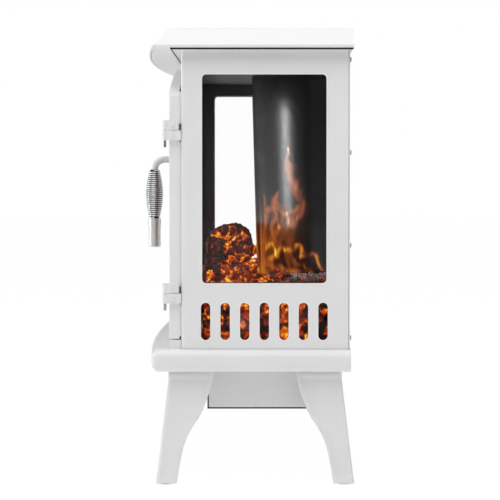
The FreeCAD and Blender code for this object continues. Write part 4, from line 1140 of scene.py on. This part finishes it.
def make_louvre_hoods(material):
    """Pressed hoods over the rear cover's air slots."""
    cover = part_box("rear_cover")
    columns, rows = 9, 6
    pitch_x, pitch_z = 44 * MM, 13 * MM
    first_z = cover[0].z + 33 * MM
    half = 17 * MM
    loops = []
    steps = 12
    for step in range(steps + 1):
        share = step / steps
        x = -half + 2 * half * share
        swell = math.sin(math.pi * share) ** 0.45 if 0 < share < 1 else 0.02
        arc = []
        for turn in range(7):
            angle = math.pi / 2 * turn / 6
            arc.append(Vector((x, (0.2 + 3.6 * swell * math.cos(angle)) * MM,
                               (0.4 + 5.2 * math.sin(angle)) * MM)))
        back = [Vector((p.x, max(0.0, p.y - 0.8 * MM), p.z - 0.5 * MM)) for p in reversed(arc)]
        loops.append(arc + back)
    points, faces = loft(loops)
    hood = mesh_object("hood", points, faces)
    places = [((column - (columns - 1) / 2) * pitch_x, cover[1].y, first_z + row * pitch_z)
              for row in range(rows) for column in range(columns)]
    base = bpy.data.meshes.new("rear_louvre_hoods")
    base.from_pydata(places, [], [])
    made = run_tree("rear_louvre_hoods", stamp_tree(hood, material), {}, base)
    settle(made, BODY)
    bpy.data.objects.remove(hood)


def make_door_seal(material):
    """The black rope seal that shows as a thin line round the door's glass."""
    low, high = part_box("door_glass")
    inset = 7.4 * MM
    y = low.y - 1.5 * MM
    half = high.x - inset
    z0 = low.z + inset
    crown = high.z - inset
    rise = 46.5 * MM
    door_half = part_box("door_frame")[1].x
    border = 45 * MM
    radius = (door_half ** 2 + rise ** 2) / (2 * rise) - border
    centre_z = crown - radius
    spring = centre_z + math.sqrt(radius ** 2 - half ** 2)
    path = [Vector((-half, y, z0)), Vector((half, y, z0)), Vector((half, y, spring))]
    angle = math.asin(half / radius)
    for step in range(1, 24):
        turn = angle - 2 * angle * step / 24
        path.append(Vector((radius * math.sin(turn), y, centre_z + radius * math.cos(turn))))
    path.append(Vector((-half, y, spring)))
    settle(closed_tubes("door_glass_seal", [path], 1.4 * MM), "door",
           material)


def closed_tubes(name, paths, radius):
    """A round bead along each closed path."""
    curve = bpy.data.curves.new(name, "CURVE")
    curve.dimensions = "3D"
    curve.bevel_depth = radius
    curve.bevel_resolution = 3
    for path in paths:
        line = curve.splines.new("POLY")
        line.points.add(len(path) - 1)
        for point, place in zip(line.points, path):
            point.co = (*place, 1)
        line.use_cyclic_u = True
    guide = link(name + "_curve", curve)
    graph = bpy.context.evaluated_depsgraph_get()
    mesh = bpy.data.meshes.new_from_object(guide.evaluated_get(graph))
    bpy.data.objects.remove(guide)
    return link(name, mesh)


def rounded_path(x, low, high, radius, steps=8):
    """A rounded rectangle in the plane at x, from its low and high (y, z) corners."""
    path = []
    for turn, y, z in ((0, high[0] - radius, high[1] - radius),
                       (1, low[0] + radius, high[1] - radius),
                       (2, low[0] + radius, low[1] + radius),
                       (3, high[0] - radius, low[1] + radius)):
        for step in range(steps + 1):
            angle = math.pi / 2 * (turn + step / steps)
            path.append(Vector((x, y + radius * math.cos(angle), z + radius * math.sin(angle))))
    return path


def make_rims(material):
    """The thin rolled edge round each side window and air slot; its whiter, glossier coat is a
    painted highlight along the edge.
    """
    panel_low, panel_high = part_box("side_panel_right")
    pane_low, pane_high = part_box("side_glass_right")
    bead = 0.7 * MM
    lap = 9 * MM - bead
    corner = 6.5 * MM
    window = ((pane_low.y + lap, pane_low.z + lap), (pane_high.y - lap, pane_high.z - lap))
    slot_width = 12.2 * MM
    slot_length = 48.8 * MM
    pitch = 25.5 * MM
    first = (pane_low.y + pane_high.y) / 2 - 3 * pitch
    foot = panel_low.z + 11.5 * MM
    for side, label in ((1, "right"), (-1, "left")):
        x = side * (panel_high.x - bead * 0.4)
        paths = [rounded_path(x, window[0], window[1], corner)]
        half = slot_width / 2 + bead
        for index in range(7):
            y = first + index * pitch
            paths.append(rounded_path(x, (y - half, foot - bead),
                                      (y + half, foot + slot_length + bead), half - 0.01 * MM))
        settle(closed_tubes("rolled_rims_" + label, paths, bead), BODY,
               material)


def make_seals(shadow_black, silicone):
    """Black strips under the cap's lip, a painted shadow standing in for the shade under its
    overhang, and the pale strip behind the door's edge.
    """
    cap_low, cap_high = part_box("top_cap")
    frame_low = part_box("front_frame")[0]
    door_low, door_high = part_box("door_frame")
    leaf_low, leaf_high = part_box("cabinet_hinge_leaves")
    # painted shadow: thin black strips hung under the cap's lip along both sides and across at the
    # seam, where shade falls under the overhang
    points = []
    faces = []
    seam_y = frame_low.y - 13 * MM
    drop = 2.3 * MM
    for x0, x1 in ((cap_high.x - 3.4 * MM, cap_high.x - 0.6 * MM),
                   (cap_low.x + 0.6 * MM, cap_low.x + 3.4 * MM)):
        slab(points, faces, x0, x1, seam_y, cap_high.y - 1 * MM, cap_low.z - drop, cap_low.z)
    slab(points, faces, cap_low.x + 1 * MM, cap_high.x - 1 * MM, seam_y - 0.6 * MM,
         seam_y + 0.6 * MM, cap_low.z - 0.7 * MM, cap_low.z)
    settle(mesh_object("cap_gasket", points, faces, smooth=False), BODY,
           shadow_black)
    points = []
    faces = []
    y0 = door_high.y
    y1 = frame_low.y - 0.3 * MM
    foot = 3.0 * MM
    leaf = 12.8 * MM
    clear = 1.5 * MM
    gap = 9.0 * MM
    spans = ((door_low.z + foot, leaf_low.z - clear),
             (leaf_low.z + leaf + gap, leaf_high.z - leaf - clear),
             (leaf_high.z + gap, door_high.z - 45 * MM))
    for z0, z1 in spans:
        slab(points, faces, door_high.x - 5 * MM, door_high.x - 0.4 * MM, y0, y1, z0, z1)
    slab(points, faces, door_low.x + 0.4 * MM, door_low.x + 5 * MM, y0, y1, door_low.z + foot,
         door_high.z - 45 * MM)
    settle(mesh_object("door_edge_seal", points, faces, smooth=False), "door",
           silicone)


def make_dials(mark_paint):
    """Tick marks round the two knobs, plain bars with no figures."""
    face_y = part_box("control_panel")[0].y
    dial = 14.5 * MM
    half = 0.45 * MM
    tick_height = 0.35 * MM
    for label, node in (("thermostat_ticks", "thermostat_knob"), ("flame_ticks", "flame_knob")):
        low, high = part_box(node)
        centre = Vector(((low.x + high.x) / 2, face_y, (low.z + high.z) / 2))
        points = []
        faces = []
        for step in range(10):
            turn = math.radians(225 - 30 * step)
            out = Vector((math.cos(turn), 0, math.sin(turn)))
            side = Vector((-out.z, 0, out.x))
            length = (3.0 if step % 3 == 0 else 2.0) * MM
            add_block(points, faces,
                      [centre + out * (dial + far * length) + side * wide * half
                       + Vector((0, depth, 0)) for depth in (0.0, -tick_height)
                       for far, wide in ((0, -1), (1, -1), (1, 1), (0, 1))])
        settle(mesh_object(label, points, faces, smooth=False), BODY, mark_paint)


# ------------------------------------------------------------------ build
make_camera()
make_stage()

white = powder_coat("white_powder_coat", "F2F2F2")
# painted light: a whiter copy of the body's white coat for the heater housing, brightening it
# where it sits in shade under the base
housing_white_painted_fill = powder_coat("housing_powder_coat_painted_fill", "FAFAFA")
# painted highlight: a whiter, glossier copy of the body's white coat for the rolled rims, standing
# in for the light caught along each edge
rim_painted_highlight_white = powder_coat("rolled_rim_painted_highlight_coat", "FFFFFF", rough=0.3)
rear_white = powder_coat("rear_sheet_powder_coat", "EEEEEE", rough=0.5)
black = powder_coat("black_stove_paint", "17181A", grain=0.9 * MM, rough=0.62)
liner_black = powder_coat("liner_stove_paint", "45464A", grain=0.9 * MM, rough=0.7)
glass = pane("toughened_glass")
spring_metal = bright_metal("nickel_plated_wire", "F0F0F0", rough=0.28)
rod_white = powder_coat("rod_powder_coat", "ECECEC")
end_metal = bright_metal("satin_nickel", "ECECEC", rough=0.46)
zinc = bright_metal("zinc_plate", "B9BBBD", rough=0.35)
pin_metal = bright_metal("drawn_steel_pin", "C6C6C8", rough=0.25, stretch=(1, 1, 0.05))
plain_steel = bright_metal("motor_can_steel", "9C9DA0", rough=0.38)
fan_metal = bright_metal("pressed_aluminium", "C9CCD0", rough=0.34)
foil = bright_metal("mirror_foil", "EDEDED", rough=0.08)
nylon = moulded_plastic("natural_nylon", "D8D5CA", rough=0.45)
seal_white = moulded_plastic("pale_silicone", "F4F4F2", rough=0.6)
nylon_white = moulded_plastic("white_nylon", "DEDEDC", rough=0.5)
black_plastic = moulded_plastic("black_moulding", "101011", rough=0.55)
knob_plastic = moulded_plastic("knob_moulding", "141415", rough=0.35)
rocker_red = moulded_plastic("red_rocker_moulding", "8C1410", rough=0.3, depth=0.08)
rocker_black = moulded_plastic("black_rocker_moulding", "0E0E0F", rough=0.3, depth=0.08)
ceramic = moulded_plastic("heating_ceramic", "B8B2A6", rough=0.6)
board = circuit_laminate()
log_paint = burning("charred_resin_log", "0E0907", "5C4A40", 0.95, through=0.34)
coal_paint = burning("charred_resin_coal", "120A07", "6A564C", 0.90, 0.58)
hot_paint = burning("glowing_resin_coal", "1E0B05", "7A5A48", 1.0, 0.62, through=0.62)
soot_paint = burning("sooty_resin_log", "0B0908", "5A504C", 0.6, 0.50, through=0.10)
ash_paint = burning("ash_grey_resin_log", "2A2524", "A79F9C", 0.5, 0.45)
ember_paint = ember_moulding()

paint_node(white, "top_cap", "cap_underplate", "base_moulding", "side_panel_right",
           "side_panel_left", "front_frame", "door_frame", "door_sill", "door_hinge_leaves",
           "cabinet_hinge_leaves")
paint_node(housing_white_painted_fill, "heater_housing")
paint_node(rear_white, "rear_cover")
paint_node(glass, "side_glass_right", "side_glass_left", "door_glass")
paint_node(black, "glass_retainer_right", "glass_retainer_left", "outlet_grille",
           "control_panel")
paint_node(liner_black, "side_liner_right", "side_liner_left", "firebox_ceiling")
paint_node(foil, "flicker_spindle")
paint_node(plain_steel, "flicker_motor", "blower_motor", "magnet_catch")
paint_node(nylon, "spindle_bearings", "blower_bearing")
paint_node(board, "flame_light_board", "ember_light_board", "power_board")
paint_node(black_plastic, "cord_bush", "switch_bezels", "control_pots", "thermal_cutout")
paint_node(nylon_white, "foot_pads")
paint_node(knob_plastic, "thermostat_knob", "flame_knob")
paint_node(rocker_red, "power_rocker")
paint_node(rocker_black, "heat_rocker")
paint_node(fan_metal, "blower_wheel")
paint_node(ceramic, "heater_element")
paint_node(rod_white, "handle_rod")
paint_node(end_metal, "handle_end")
paint_node(zinc, "leg_bolts", "door_glass_clips")
paint_node(pin_metal, "hinge_pins")

make_flame_screen(flame_acrylic())
make_fire(log_paint, coal_paint, ember_paint, ash_paint, hot_paint, soot_paint)
for leg_name, leg_side, leg_end in (("leg_front_right", 1, -1), ("leg_front_left", -1, -1),
                                    ("leg_rear_right", 1, 1), ("leg_rear_left", -1, 1)):
    make_leg(leg_name, leg_side, leg_end, white)
make_screws(zinc, white)
make_grip(spring_metal, black_plastic)
make_louvre_hoods(rear_white)
make_door_seal(black_plastic)
make_seals(black_plastic, seal_white)
make_rims(rim_painted_highlight_white)
make_dials(white)
